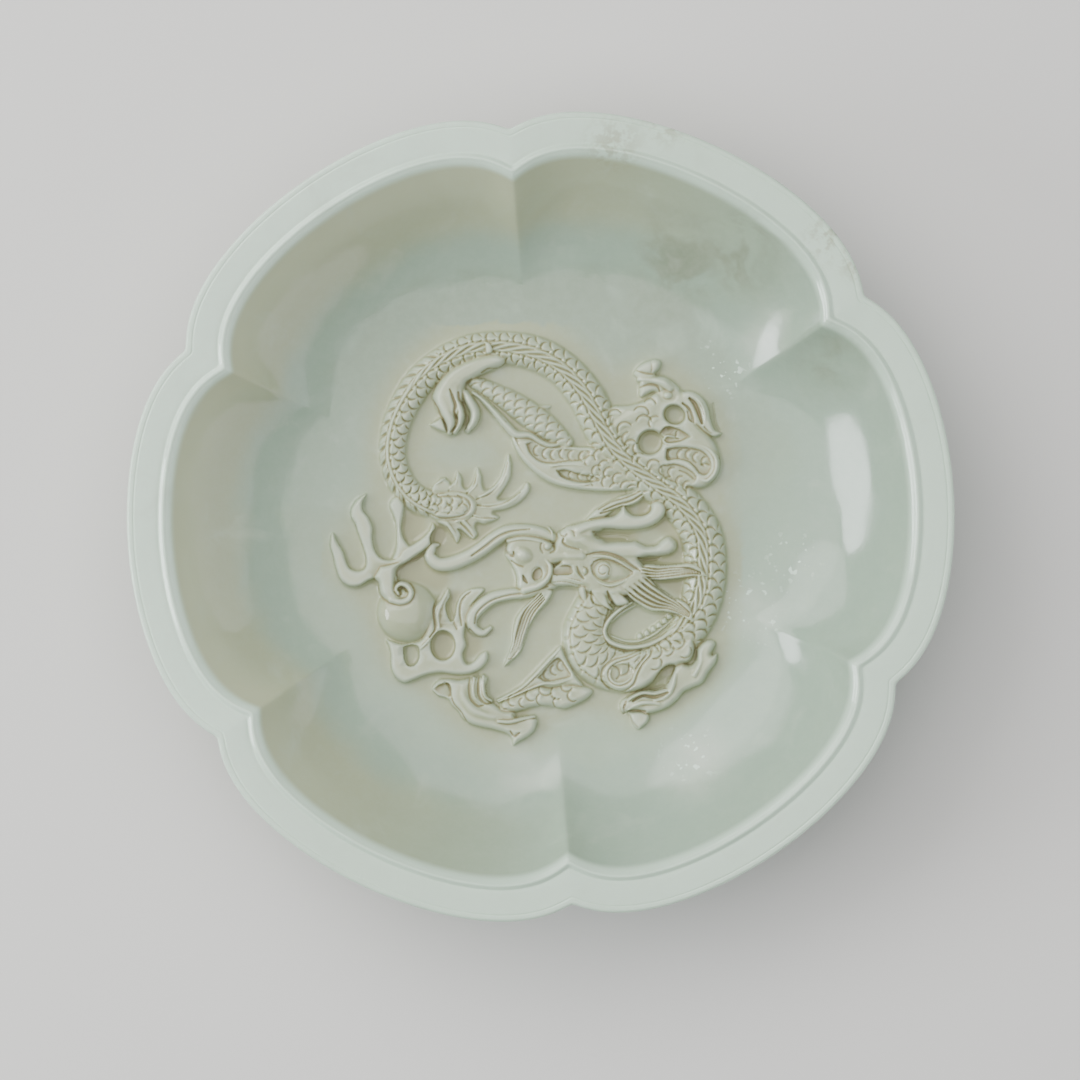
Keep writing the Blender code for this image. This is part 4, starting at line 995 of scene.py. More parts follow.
def carve_head(work):
    """The head in profile, with its mane, horns, eye, nose and jaw."""
    # mane and the hair behind the cheek
    mane = [(632, 570), (648, 564.5), (664, 565.5), (680, 564.5), (692, 563), (702, 567), (711, 578),
            (700, 577), (684, 578.5), (664, 580.5), (646, 580), (634, 580)]
    work.slab(mane, 3.3, edge=3.5, moat=0.5, blend=0.25)
    for k in range(4):
        work.cut([(643, 567 + 3.4 * k, 0.8), (658, 569.5 + 2.8 * k, 1.3), (676, 568 + 2.6 * k, 1.3),
                  (690, 568.5 + 1.8 * k, 1.2), (702, 572.5 + 0.7 * k, 0.6)], 1.15, stain=0.28)
    cheek = [(620, 588), (628, 579), (642, 573), (653, 581), (662, 591), (672, 598), (684, 601), (692, 607),
             (696, 622), (690, 622), (681, 616), (666, 612.5), (652, 611.5), (639, 604.5), (629, 598)]
    work.slab(cheek, 3.2, edge=3.5, moat=0.5, blend=0.25)
    for k in range(5):
        work.cut([(626 + 4.6 * k, 590 - 3.0 * k, 0.8), (639 + 3.8 * k, 600 - 3.6 * k, 1.3),
                  (654 + 3.2 * k, 607.5 - 3.4 * k, 1.3), (671 + 1.9 * k, 609.5 - 1.7 * k, 1.2),
                  (690 + 0.4 * k, 617.5 - 0.9 * k, 0.6)], 1.15, stain=0.28)
    work.cut([(621, 586, 1.0), (626, 594, 1.9), (634, 602, 1.2)], 0.7, stain=0.3)
    # crest of hair over the horns
    crest = [(586, 520), (594, 511), (606, 503), (620, 496.5), (634, 492), (645, 484), (647, 491),
             (642, 500),
             (633, 505), (622, 507), (612, 512), (604, 518)]
    work.slab(crest, 2.0, edge=3.5, moat=0.25, blend=0.35)
    for line in ([(599, 509, 0.9), (612, 501.5, 1.4), (628, 496.5, 1.4), (641, 491, 0.9)],
                 [(604, 510, 0.8), (618, 504.5, 1.3), (632, 500.5, 1.3), (643, 494, 0.8)],
                 [(601, 513, 0.8), (612, 510, 1.3), (624, 506, 0.9)]):
        work.cut(line, 0.8, stain=0.15)
    # skull, brow and jaw are one broad mass
    skull = [(551, 556), (555, 541), (561, 530), (571, 525), (585, 522), (600, 520), (612, 522), (604, 530),
             (596, 534), (602, 541), (618, 542), (634, 544), (641, 552), (641, 560), (647, 568), (650, 579),
             (640, 590), (628, 597), (612, 598), (598, 597), (586, 591), (572, 587), (556, 587), (549, 582),
             (551, 570), (559, 562)]
    work.slab(skull, 2.8, edge=6.0, blend=0.5, moat=0.3, dome=0.3)
    work.form([(563, 536, 7, 3.0), (577, 539, 13, 3.7), (592, 545, 12, 3.5), (606, 549, 8, 3.1)], moat=0,
              shape=(2.2, 0.8), blend=0.6)
    work.form([(550, 556, 7, 2.8), (566, 556, 8, 3.3), (582, 556, 9, 3.5)], moat=0, shape=(2.2, 0.8),
              blend=0.5)
    work.form([(588, 589, 6, 2.8), (604, 592, 8, 3.2), (620, 591, 7, 3.0)], moat=0, shape=(2.2, 0.8),
              blend=0.5)
    snout = [(505, 546), (510, 540), (522, 537), (538, 538), (550, 543), (562, 550), (564, 562), (553, 566),
             (551, 576), (543, 588), (526, 592), (517, 589), (516, 577), (511, 565), (505, 556)]
    work.slab(snout, 2.5, edge=5.5, moat=0.3, blend=0.5, dome=0.4)
    # horns
    upper = [(572, 526), (586, 521), (600, 517.5), (614, 515.5), (620, 511), (624.5, 505.5), (629.5, 511.5),
             (636, 515), (645, 514), (651, 509), (652.5, 503), (659, 499.5), (666, 503), (668, 510),
             (664, 518),
             (655, 525), (642, 529), (626, 530), (610, 529), (598, 530), (588, 533), (576, 538)]
    work.slab(upper, 3.0, edge=5.0, moat=0.3, blend=0.45, dome=0.5)
    lower = [(578, 543), (592, 541), (606, 542.5), (620, 541.5), (630, 541.5), (636, 541), (641, 543),
             (648, 546),
             (657, 545), (663, 540), (670, 536.5), (677, 541), (678, 548), (672, 554), (660, 556.5),
             (648, 557),
             (638, 560), (622, 560), (604, 557), (588, 556)]
    work.slab(lower, 3.0, edge=6.0, moat=0.2, blend=0.45, dome=0.4)
    valley = [(593, 531.5), (608, 531), (624, 531.5), (633, 533), (629, 539), (612, 540.5), (599, 539)]
    work.lower(valley, 1.5, edge=3.0, stain=0.1)
    work.cut([(596, 534, 0.7), (610, 533.5, 1.1), (624, 534.5, 1.1), (631, 536, 0.7)], 0.35, stain=0.1)
    work.cut([(600, 538, 0.7), (612, 537.5, 1.1), (624, 538, 1.0), (629, 541, 0.7)], 0.3, stain=0.1)
    work.sink(642, 509, 9.5, 6, to=0.2, edge=0.5, stain=0.08)
    work.cut([(639, 558, 0.9), (647, 560, 1.9), (656, 559.5, 1.5), (662, 556.5, 0.8)], 0.7, stain=0.4)
    work.cut([(668, 538, 0.7), (675, 541, 0.9), (676, 548, 0.9), (671, 553, 0.7)], 0.25, stain=0.2)
    # eye and lids
    almond = [(591, 566), (597, 560), (606, 559), (616, 562), (626, 568), (634, 573.5), (624, 580),
              (611, 583.5),
              (600, 580), (593, 574)]
    work.lower(almond, 2.55, edge=2.5)
    work.form([(588, 558, 1.6), (598, 556, 2.4), (609, 557.2, 2.8), (620, 561.5, 2.8), (630, 568.5, 2.4),
               (638, 573.5, 1.4)], 3.75, shape=(2, 0.7), moat=0.1, blend=0.3)
    work.form([(592, 576, 1.6), (600, 583, 2.2), (611, 586, 2.5), (622, 583, 2.3), (634, 575.5, 1.4)], 3.5,
              shape=(2, 0.7), moat=0.1, blend=0.3)
    work.blob(612, 572, 18, 8.5, 0.75, base=2.45, turn=-8, moat=0, shape=(2.2, 0.7), blend=0.4)
    work.blob(604, 571, 9.4, 9.4, 1.5, base=2.4, moat=0.15, shape=(2, 0.6))
    spiral = [(604 + reach * math.cos(turn), 571 + reach * math.sin(turn), 0.8) for reach, turn in
              ((6.4, 0.6), (6.4, -0.4), (6.2, -1.4), (5.6, -2.4), (4.8, -3.4), (4, -4.4), (3.2, -5.4))]
    work.cut(spiral, 0.35)
    work.cut([(587, 555, 0.7), (598, 552.6, 1.2), (610, 553.4, 1.4), (622, 558, 1.5), (633, 566, 1.4),
              (641, 571, 0.8)],
             0.5, stain=0.35)
    work.cut([(594, 562, 0.7), (603, 559.6, 1.0), (614, 561.5, 1.1), (625, 566.8, 1.0), (634, 572.3, 0.7)],
             0.35,
             stain=0.2)
    # nose, nostril curl and the bulb behind it
    work.blob(523.5, 555, 14.5, 12, 3.9, turn=-30, shape=(2, 0.75), blend=0.9, moat=0)
    work.form([(508, 541, 3, 2.4), (522, 538.5, 4, 2.9), (538, 540.5, 4, 2.9), (550, 545, 4, 2.9)], moat=0,
              shape=(2.2, 0.8), blend=0.5)
    work.blob(547.5, 546.5, 6, 6, 3.5, moat=0.25, shape=(2.2, 0.7))
    work.cut([(550, 540.5, 0.7), (553.5, 545, 1.0), (554.5, 550.5, 1.1), (550.5, 553, 0.8)], 0.45, stain=0.1)
    work.cut([(541.5, 543, 0.7), (540.5, 548, 1.0), (543, 553, 0.8)], 0.3)
    work.cut([(506.5, 545, 0.9), (505.5, 550, 1.4), (508.5, 554.5, 1.9), (513, 556, 1.3), (513.5, 552, 0.8)],
             0.7,
             stain=0.35)
    work.cut([(511, 561, 0.8), (516, 564.5, 1.3), (523, 567, 1.0)], 0.5, stain=0.15)
    # the upper lip runs out into the lower whisker
    work.form([(546, 560, 3, 2.8), (550.5, 568, 4, 3.4), (548, 578, 4.6, 3.4), (539, 586, 5.4, 3.2),
               (524, 591, 6, 2.8)], moat=0.1, shape=(2.4, 0.75), blend=0.4)
    work.sink(537.5, 574.5, 4.8, 6.6, to=2.0, turn=-24, edge=0.35, stain=0.08)
    work.cut([(537 + 5.4 * math.cos(a), 574.5 + 7.2 * math.sin(a), 0.7) for a in np.linspace(0, 6.2, 9)],
             0.25,
             stain=0.15)
    work.cut([(523, 576, 0.8), (524.5, 580, 2.0), (527, 583, 1.0)], 0.8, stain=0.4)
    # mouth, teeth and jaw
    mouth = [(553, 567), (562, 565.5), (571, 566.5), (572, 574), (562, 575.5), (554, 575)]
    work.lower(mouth, 2.0, edge=2.2, stain=0.06)
    work.form([(553, 579.5, 1.2), (566, 579, 1.5), (580, 582.5, 1.6), (589, 587, 1.0)], 3.3, moat=0.25,
              shape=(2, 0.8))
    work.cut([(553, 582.5, 0.7), (567, 582.5, 1.0), (581, 586, 0.8)], 0.35)
    work.form([(573, 566, 1.8), (575.5, 572, 2.6), (580, 578, 2.0)], 3.3, moat=0.3, shape=(2, 0.8))
    work.cut([(577.5, 567, 0.8), (579.5, 573, 1.4), (584, 579, 1.0)], 0.55, stain=0.15)
    work.blob(585, 571, 4.6, 6.2, 3.6, moat=0.35, shape=(2, 0.7))
    work.cut([(584, 567, 0.7), (587.5, 569, 1.0), (588, 574, 0.9), (585, 576, 0.6)], 0.35)
    # forehead locks
    work.cut([(565, 527.5, 0.7), (560.5, 530.5, 1.3), (560.5, 534.5, 1.2), (565, 536.5, 0.8),
              (567, 534, 0.6)], 0.5,
             stain=0.15)
    work.cut([(564, 538, 0.7), (563, 542, 1.2), (566.5, 545.5, 1.3), (573, 548, 1.1), (580, 549.5, 0.6)],
             0.5, stain=0.15)
    work.cut([(570, 529, 0.6), (574, 532, 0.9), (575, 536, 0.7)], 0.25)
    work.form([(549, 528, 1.2), (552, 532, 1.8), (553, 537, 1.6)], 2.4, moat=0, shape=(2, 0.8))
    # points under the cheek
    work.form([(583, 590, 5), (585, 599, 4), (588, 606, 1.5)], 3.1, moat=0.4, shape=(2.2, 0.8))
    point = [(590, 590), (600, 588), (606, 594), (610, 604), (614, 611), (604, 608), (596, 601)]
    work.slab(point, 2.9, edge=3.0, moat=0.35)
    work.slab([(606, 590), (616, 590), (626, 597), (630, 604), (619, 607), (611, 601)], 2.8, edge=3.0,
              moat=0.35)
    work.cut([(608, 592, 1.0), (611, 599, 1.9), (616, 607, 1.1)], 0.7, stain=0.3)
    work.cut([(591.5, 592, 0.9), (592, 599, 1.4), (594, 604, 0.9)], 0.6, stain=0.2)


def carve_neck_fin(work):
    """The border inside the neck's curl, and the row of low fins that stands on it."""
    ring = [(633, 603, 1.6), (620, 611, 2.6), (609, 622, 3), (605, 633, 3.2), (611, 643, 3.4),
            (628, 648.5, 3.4),
            (646, 647, 3.2), (662, 640, 3), (676, 629, 2.6), (688, 618, 1.6)]
    work.form(ring, 2.6, shape=(2.4, 0.8), moat=0.1, blend=0.5)
    work.form([(636, 606, 1.2), (622, 614, 1.8), (612, 623, 1.6)], 1.2, shape=(2, 0.8), moat=0)
    inner = [(612, 637, 1.2), (626, 642, 1.8), (640, 642, 2), (654, 636, 2), (666, 627, 1.8),
             (676, 618, 1.2)]
    work.form(inner, 1.1, shape=(2, 0.8), moat=0)
    for x, y in ((641, 637.5), (648, 634.5), (654.5, 630.5), (660.5, 626.5), (666, 622), (671, 617.5)):
        fin = [(x - 2.6, y + 3), (x - 3, y - 1.5), (x + 0.5, y - 3.6), (x + 3, y - 0.5), (x + 2.6, y + 2)]
        work.slab(fin, 1.3, edge=1.8, moat=0.1, blend=0.2)
    work.cut([(608, 646, 0.8), (626, 651.5, 1.1), (648, 650, 1.1), (666, 642, 1.1), (684, 626, 0.8)], 0.25)


# Deep ground between the forms, where the stone keeps an olive skin, darkened further as painted shade
OLIVE_AND_SHADED_GROUND = [
    [(398, 558), (424, 548), (434, 560), (448, 573), (440, 590), (420, 584), (400, 580)],
    [(400, 514), (414, 512), (424, 520), (422, 540), (408, 544), (400, 532)],
    [(430, 522), (446, 524), (474, 536), (482, 524), (492, 532), (470, 548), (446, 556), (432, 546)],
    [(640, 524), (668, 518), (690, 540), (698, 570), (694, 602), (664, 586), (640, 580), (640, 560),
     (676, 552), (670, 536)],
    [(600, 532), (632, 530), (636, 540), (604, 542)],
    [(440, 594), (474, 592), (466, 606), (463, 622), (470, 636), (480, 642), (478, 654), (464, 658),
     (460, 640), (440, 628)],
    [(428, 632), (454, 632), (456, 660), (430, 662)],
    [(655, 660), (672, 650), (676, 660), (668, 674), (652, 680)],
    [(640, 498), (656, 494), (660, 512), (640, 516)],
    [(646, 418), (668, 418), (668, 444), (646, 444)],
]


def carve_relief(cell):
    """Everything on the saucer's floor, from the lowest form to the highest."""
    work = Carving(RELIEF_LEFT_PX, RELIEF_TOP_PX, RELIEF_RIGHT_PX, RELIEF_BOTTOM_PX, cell)
    carve_tail(work)
    carve_body(work)
    finish_tail_tip(work)
    carve_near_hind_leg(work)
    carve_far_hind_leg(work)
    carve_near_foreleg(work)
    carve_neck_fin(work)
    carve_far_foreleg(work)
    carve_pearl(work)
    carve_whiskers(work)
    carve_head(work)
    work.settle()
    for outline in OLIVE_AND_SHADED_GROUND:
        work.wash(outline)
    return work


# Modelling

def deselect():
    """Leaves edit mode with nothing selected."""
    if bpy.context.object and bpy.context.object.mode != "OBJECT":
        bpy.ops.object.mode_set(mode="OBJECT")
    bpy.ops.object.select_all(action="DESELECT")


def place_vertices(obj, points):
    """Moves an object's vertices to points, one each."""
    obj.data.vertices.foreach_set("co", np.ascontiguousarray(points, dtype=np.float32).ravel())
    obj.data.update()


def vertices_of(obj):
    """An object's vertices as rows of x, y and z."""
    points = np.empty(len(obj.data.vertices) * 3, dtype=np.float32)
    obj.data.vertices.foreach_get("co", points)
    return points.reshape(-1, 3).astype(float)


def delete_vertices(obj, doomed):
    """Deletes the vertices that a mask marks."""
    bpy.ops.object.mode_set(mode="EDIT")
    bpy.ops.mesh.select_mode(type="VERT")
    bpy.ops.mesh.select_all(action="DESELECT")
    bpy.ops.object.mode_set(mode="OBJECT")
    obj.data.vertices.foreach_set("select", np.ascontiguousarray(doomed, dtype=bool))
    bpy.ops.object.mode_set(mode="EDIT")
    bpy.ops.mesh.delete(type="VERT")
    bpy.ops.object.mode_set(mode="OBJECT")


def model_dish(section):
    """A sphere whose rings are laid on the saucer's section, open at the top for the relief."""
    stations = section.stations()
    steps = SEGMENTS // LOBES
    deselect()
    bpy.ops.mesh.primitive_uv_sphere_add(segments=SEGMENTS, ring_count=len(stations) + 1, radius=1.0)
    dish = bpy.context.object
    dish.name = "dish"
    points = vertices_of(dish)
    turn = np.arccos(np.clip(points[:, 2], -1, 1)) / math.pi * (len(stations) + 1)
    row = np.rint(turn).astype(int)
    angle = np.arctan2(points[:, 1], points[:, 0])
    column = np.rint(angle / (2 * math.pi) * SEGMENTS).astype(int) % SEGMENTS
    rings = np.stack([section.ring(station, steps) for station in stations])
    inside = (row > 0) & (row <= len(stations))
    points[inside] = rings[row[inside] - 1, column[inside]]
    points[row > len(stations)] = (0.0, 0.0, section.foot_height)
    place_vertices(dish, points)
    delete_vertices(dish, row == 0)
    return dish


def tooling(points):
    """Faint waves that the carver's wheel left, in millimetres."""
    waves = np.zeros(len(points))
    for turn, length, start in TOOL_WAVES:
        way = points[:, 0] * math.cos(turn) + points[:, 1] * math.sin(turn)
        waves += np.sin(way / (length * MM) * 2 * math.pi + start)
    return waves * TOOL_DEPTH_MM


def model_relief(section, relief_width):
    """A grid over the floor, raised to the carved heights and thinned where it is smooth."""
    pixel = relief_width / RELIEF_WIDTH_PX
    carving = carve_relief(MM / pixel * GRID_CELL_MM)
    reach = section.wall_radius(JOIN_SHARE) * section.oval
    count = int(2 * reach / (GRID_CELL_MM * MM))
    deselect()
    bpy.ops.mesh.primitive_grid_add(x_subdivisions=count, y_subdivisions=count, size=2 * reach)
    relief = bpy.context.object
    relief.name = "relief"
    points = vertices_of(relief)
    share = section.share_at(points[:, 0], points[:, 1])
    outside = share > JOIN_SHARE - JOIN_MARGIN
    delete_vertices(relief, outside)
    points, share = points[~outside], share[~outside]
    raised = (carving.sample(carving.Z, points, pixel) + tooling(points)) * MM
    points[:, 2] = section.wall_height(share) + raised
    place_vertices(relief, points)
    thin = relief.modifiers.new("thin", "DECIMATE")
    thin.ratio = RELIEF_TRIANGLES / (2 * len(points))
    bpy.ops.object.modifier_apply(modifier=thin.name)
    return relief, carving, pixel


def sew(dish, relief):
    """Joins the relief to the dish and fills the ring between their open edges."""
    deselect()
    relief.select_set(True)
    dish.select_set(True)
    bpy.context.view_layer.objects.active = dish
    bpy.ops.object.join()
    stone = bpy.context.object
    bpy.ops.object.mode_set(mode="EDIT")
    bpy.ops.mesh.select_mode(type="EDGE")
    bpy.ops.mesh.select_all(action="DESELECT")
    bpy.ops.mesh.select_non_manifold()
    mesh = bmesh.from_edit_mesh(stone.data)
    rim = [edge for edge in mesh.edges if edge.is_boundary]
    bmesh.ops.triangle_fill(mesh, edges=rim, use_beauty=True, normal=(0, 0, 1))
    bmesh.update_edit_mesh(stone.data)
    bpy.ops.mesh.select_all(action="SELECT")
    bpy.ops.mesh.quads_convert_to_tris(quad_method="BEAUTY")
    bpy.ops.mesh.normals_make_consistent(inside=False)
    bpy.ops.object.mode_set(mode="OBJECT")
    bpy.ops.object.shade_smooth()
    return stone


def shade_from_heights(stone, section, carving, pixel):
    """Gives the carved floor the normals of its heights, so that thinning leaves no streaks."""
    points = vertices_of(stone)
    step = carving.cell * pixel

    def height(dx, dy):
        moved = points + (dx, dy, 0.0)
        base = section.wall_height(section.share_at(moved[:, 0], moved[:, 1]))
        return base + carving.sample(carving.Z, moved, pixel) * MM

    slope_x = (height(step, 0.0) - height(-step, 0.0)) / (2 * step)
    slope_y = (height(0.0, step) - height(0.0, -step)) / (2 * step)
    normals = np.stack([-slope_x, -slope_y, np.ones(len(points))], axis=1)
    normals /= np.linalg.norm(normals, axis=1, keepdims=True)
    share = section.share_at(points[:, 0], points[:, 1])
    plain = (share > JOIN_SHARE - 2 * JOIN_MARGIN) | (points[:, 2] < section.floor_top - MM)
    normals[plain] = 0.0
    stone.data.normals_split_custom_set_from_vertices(normals.tolist())


# Masks that the stone's colour reads: heights in millimetres, reaches in the photograph's pixels

MASKED_ABOVE = 6.5 * MM
FORM_HEIGHT = 0.35
WARMTH_PX = 20
SHADE_CLOSENESS_PX = 7
CREST_HIGHLIGHT_PX = 6.5


def write_mask(stone, name, values):
    """Stores one value for each vertex under a name that the material reads."""
    layer = stone.data.attributes.new(name, "FLOAT", "POINT")
    layer.data.foreach_set("value", np.ascontiguousarray(values, dtype=np.float32))


def write_masks(stone, carving, pixel):
    """Stains, nearness of the carving, and how deep or high a place lies among its neighbours."""
    points = vertices_of(stone)
    top = points[:, 2] > MASKED_ABOVE
    cell, high = carving.cell, carving.Z
    cover = (high > FORM_HEIGHT).astype(float)
    around = blurred(high, int(CREST_HIGHLIGHT_PX / cell))
    shaded_closeness = np.clip((blurred(cover, int(SHADE_CLOSENESS_PX / cell)) - 0.42) / 0.35, 0, 1)
    fields = {
        "stain": carving.stain,
        "warmth": blurred(cover, int(WARMTH_PX / cell)),
        # olive ground and painted shade close to and between the forms
        "enclosed": np.maximum(carving.olive, 0.8 * shaded_closeness * (1 - np.clip(high / 1.1, 0, 1))),
        # brown and painted shade in the narrow cuts of the forms
        "hollow": np.clip((blurred(high, 1) - high) / 0.12, 0, 1) * np.clip((high - 0.3) / 0.5, 0, 1),
        # painted highlight on what stands higher than the ground around it
        "crest": np.clip((high - around) / 1.2, 0, 1),
        # painted highlight on fine raised edges
        "edge": np.clip((high - blurred(high, 2)) / 0.16, 0, 1),
    }
    for name, field in fields.items():
        write_mask(stone, name, np.where(top, carving.sample(field, points, pixel), 0.0))


# Material

class Recipe:
    """Short ways to lay nodes in one tree."""

    def __init__(self, tree):
        self.tree = tree

    def make(self, kind, **settings):
        made = self.tree.nodes.new(kind)
        for name, value in settings.items():
            setattr(made, name, value)
        return made

    def feed(self, socket, value):
        if isinstance(value, bpy.types.NodeSocket):
            self.tree.links.new(value, socket)
        else:
            socket.default_value = value

    def place(self):
        """Where a point lies on the object, in metres."""
        return self.make("ShaderNodeTexCoord").outputs["Object"]

    def attribute(self, name):
        """One of the masks."""
        return self.make("ShaderNodeAttribute", attribute_name=name).outputs["Fac"]

    def noise(self, place, size, detail=3.0, roughness=0.55, distortion=0.0):
        """Cloudy noise from 0 to 1 whose patches are about the given size in metres."""
        made = self.make("ShaderNodeTexNoise")
        self.feed(made.inputs["Vector"], place)
        for name, number in (("Scale", 1.0 / size), ("Detail", detail), ("Roughness", roughness),
                             ("Distortion", distortion)):
            made.inputs[name].default_value = number
        return made.outputs["Fac"]

    def ramp(self, value, low, high, bottom=0.0, top=1.0):
        """Takes a value from the range low..high smoothly to bottom..top."""
        made = self.make("ShaderNodeMapRange", interpolation_type="SMOOTHSTEP")
        self.feed(made.inputs["Value"], value)
        for name, number in (("From Min", low), ("From Max", high), ("To Min", bottom),
                             ("To Max", top)):
            made.inputs[name].default_value = number
        return made.outputs["Result"]

    def math(self, operation, first, second=0.0):
        made = self.make("ShaderNodeMath", operation=operation)
        self.feed(made.inputs[0], first)
        self.feed(made.inputs[1], second)
        return made.outputs[0]

    def mix(self, amount, first, second):
        """A colour between two, by an amount."""
        made = self.make("ShaderNodeMix", data_type="RGBA")
        self.feed(made.inputs[0], amount)
        self.feed(made.inputs[6], first)
        self.feed(made.inputs[7], second)
        return made.outputs[2]

    def spot(self, place, x, y, reach):
        """1 at a place on the dish, in millimetres, falling to 0 at its reach."""
        flat = self.make("ShaderNodeVectorMath", operation="MULTIPLY")
        self.feed(flat.inputs[0], place)
        flat.inputs[1].default_value = (1.0, 1.0, 0.0)
        away = self.make("ShaderNodeVectorMath", operation="DISTANCE")
        self.feed(away.inputs[0], flat.outputs["Vector"])
        away.inputs[1].default_value = (x * MM, y * MM, 0.0)
        return self.ramp(away.outputs["Value"], 0.0, reach * MM, 1.0, 0.0)


def jade_material(colours):
    """Pale jade that lets a little light in, with everything its colour reads laid over one another."""
    material = bpy.data.materials.new("celadon_jade")
    material.use_nodes = True
    tree = material.node_tree
    tree.nodes.clear()
    r = Recipe(tree)
    place = r.place()
    cloud = r.noise(place, 0.034, detail=2.0, distortion=0.7)
    veil = r.noise(place, 0.012, detail=3.0, roughness=0.6, distortion=0.4)
    grain = r.noise(place, 0.0022, detail=2.0, roughness=0.7)
    separate = r.make("ShaderNodeSeparateXYZ")
    r.feed(separate.inputs[0], place)
    across, upright, height = (separate.outputs[axis] for axis in "XYZ")
    wavy = r.math("ADD", height, r.math("MULTIPLY", r.math("SUBTRACT", veil, 0.5), 0.004))

    stone = r.mix(r.ramp(cloud, 0.38, 0.66), colours.stone, colours.cloud)
    # darker toward the top of the dish as seen from above
    stone = r.mix(r.ramp(upright, -0.035, 0.055, 0.0, 0.8), stone, colours.upper_darkening)
    stone = r.mix(r.math("MULTIPLY", r.ramp(wavy, 0.0095, 0.0115), 0.8), stone, colours.wall)
    # beige, partly painted shade, high on the left and upper walls, and a painted glow of light that comes
    # through the thin stone at the left
    side = r.math("ADD", r.math("MULTIPLY", across, -9.0), r.math("MULTIPLY", upright, 3.5))
    beige = r.math("MULTIPLY", r.ramp(side, -0.4, 0.25), r.ramp(wavy, 0.0125, 0.0175))
    stone = r.mix(r.math("MULTIPLY", beige, 0.85), stone, colours.warm_wall_and_shade)
    # nearness to the window at the left, which sets the painted glow and the painted light on the rim
    left = r.ramp(side, 0.0, 0.6)
    glow = r.math("MULTIPLY", left, r.ramp(height, 0.016, 0.0265))
    stone = r.mix(r.math("MULTIPLY", glow, 0.9), stone, colours.glow)
    stone = r.mix(r.ramp(r.attribute("warmth"), 0.02, 0.42, 0.0, 1.0), stone, colours.relief)
    # pale patches where the floor turns up into the wall, partly painted sheen of reflected light
    for x, y, reach in PALE_AND_SHEEN_PATCHES_MM:
        pale_and_sheen_patch = r.math("MULTIPLY", r.spot(place, x, y, reach), r.ramp(veil, 0.3, 0.6, 0.2, 0.8))
        stone = r.mix(pale_and_sheen_patch, stone, colours.pale_wisp_and_highlight)
    # painted glints: pale flecks on the right walls where light glances off
    glint_fleck = r.ramp(r.noise(place, 0.0016, detail=1.0, roughness=0.6), 0.62, 0.70)
    for x, y, reach in GLINT_FLECK_PLACES_MM:
        stone = r.mix(r.math("MULTIPLY", r.spot(place, x, y, reach), glint_fleck), stone, colours.lit_rim_and_glints)
    # the rim is painted palest, partly as painted light on the open flat rim, and palest of all as painted
    # light where it faces the window
    rim = r.ramp(height, 0.0272, 0.0290)
    pale = r.mix(r.math("MULTIPLY", left, 0.6), colours.rim, colours.lit_rim_and_glints)
    stone = r.mix(r.math("MULTIPLY", rim, 0.95), stone, pale)
    # grey-brown clouds on the upper right wall
    thin = (r.ramp(veil, 0.32, 0.6), r.ramp(veil, 0.4, 0.62), r.ramp(veil, 0.36, 0.64, 0.1, 0.75))
    first, second, third = (r.math("MULTIPLY", r.spot(place, *spot), veiled)
                            for spot, veiled in zip(GREY_CLOUD_MM, thin))
    grey = r.math("MULTIPLY", r.math("MAXIMUM", r.math("MAXIMUM", first, second), third), 0.9)
    stone = r.mix(grey, stone, colours.grey_cloud)
    for x, y, reach in RIM_WEAR_MM:
        worn = r.math("MULTIPLY", r.spot(place, x, y, reach), r.ramp(grain, 0.42, 0.62, 0.0, 0.5))
        stone = r.mix(worn, stone, colours.brown_wear_and_shade)
    stone = r.mix(r.ramp(veil, 0.55, 0.8, 0.0, 0.4), stone, colours.pale_wisp_and_highlight)
    stone = r.mix(r.ramp(grain, 0.3, 0.75, 0.0, 0.1), stone, colours.pale_wisp_and_highlight)
    # olive skin and painted shade in the hollows, painted highlight on the crests and on fine raised edges,
    # brown and painted shade in the narrow cuts, brown left in the deepest cuts
    stone = r.mix(r.ramp(r.attribute("enclosed"), 0.0, 0.8, 0.0, 0.9), stone, colours.hollow)
    stone = r.mix(r.ramp(r.attribute("crest"), 0.0, 0.7, 0.0, 0.9), stone, colours.crest_highlight)
    stone = r.mix(r.ramp(r.attribute("edge"), 0.1, 1.0, 0.0, 0.5), stone, colours.pale_wisp_and_highlight)
    stone = r.mix(r.ramp(r.attribute("hollow"), 0.1, 0.9, 0.0, 0.85), stone, colours.brown_wear_and_shade)
    stone = r.mix(r.math("MULTIPLY", r.attribute("stain"), 0.8), stone, colours.stain)

    shader = r.make("ShaderNodeBsdfPrincipled", subsurface_method="BURLEY")
    r.feed(shader.inputs["Base Color"], stone)
    r.feed(shader.inputs["Roughness"], r.ramp(veil, 0.2, 0.8, 0.09, 0.16))
    for name, value in (("IOR", 1.61), ("Subsurface Weight", 0.35), ("Subsurface Scale", 0.9 * MM),
                        ("Subsurface Radius", (1.0, 1.1, 0.8))):
        shader.inputs[name].default_value = value
    ripple = r.noise(place, 0.010, detail=0.0)
    surface = r.math("ADD", r.math("MULTIPLY", grain, 0.06), r.math("MULTIPLY", ripple, 0.9))
    bump = r.make("ShaderNodeBump")
    bump.inputs["Strength"].default_value = 1.0
    bump.inputs["Distance"].default_value = 0.4 * MM
    r.feed(bump.inputs["Height"], surface)
    r.feed(shader.inputs["Normal"], bump.outputs["Normal"])
    output = r.make("ShaderNodeOutputMaterial")
    r.feed(output.inputs["Surface"], shader.outputs["BSDF"])
    return material


# Studio: azimuths are counted from the right of the photograph to its left by way of the top

FLOOR_BREADTH = 6.0
PAPER_COLOUR = (0.72, 0.72, 0.71, 1.0)
PAPER_ROUGHNESS = 0.8
ROOM_COLOUR = (0.93, 0.96, 1.0, 1.0)
SENSOR_MM = 36.0
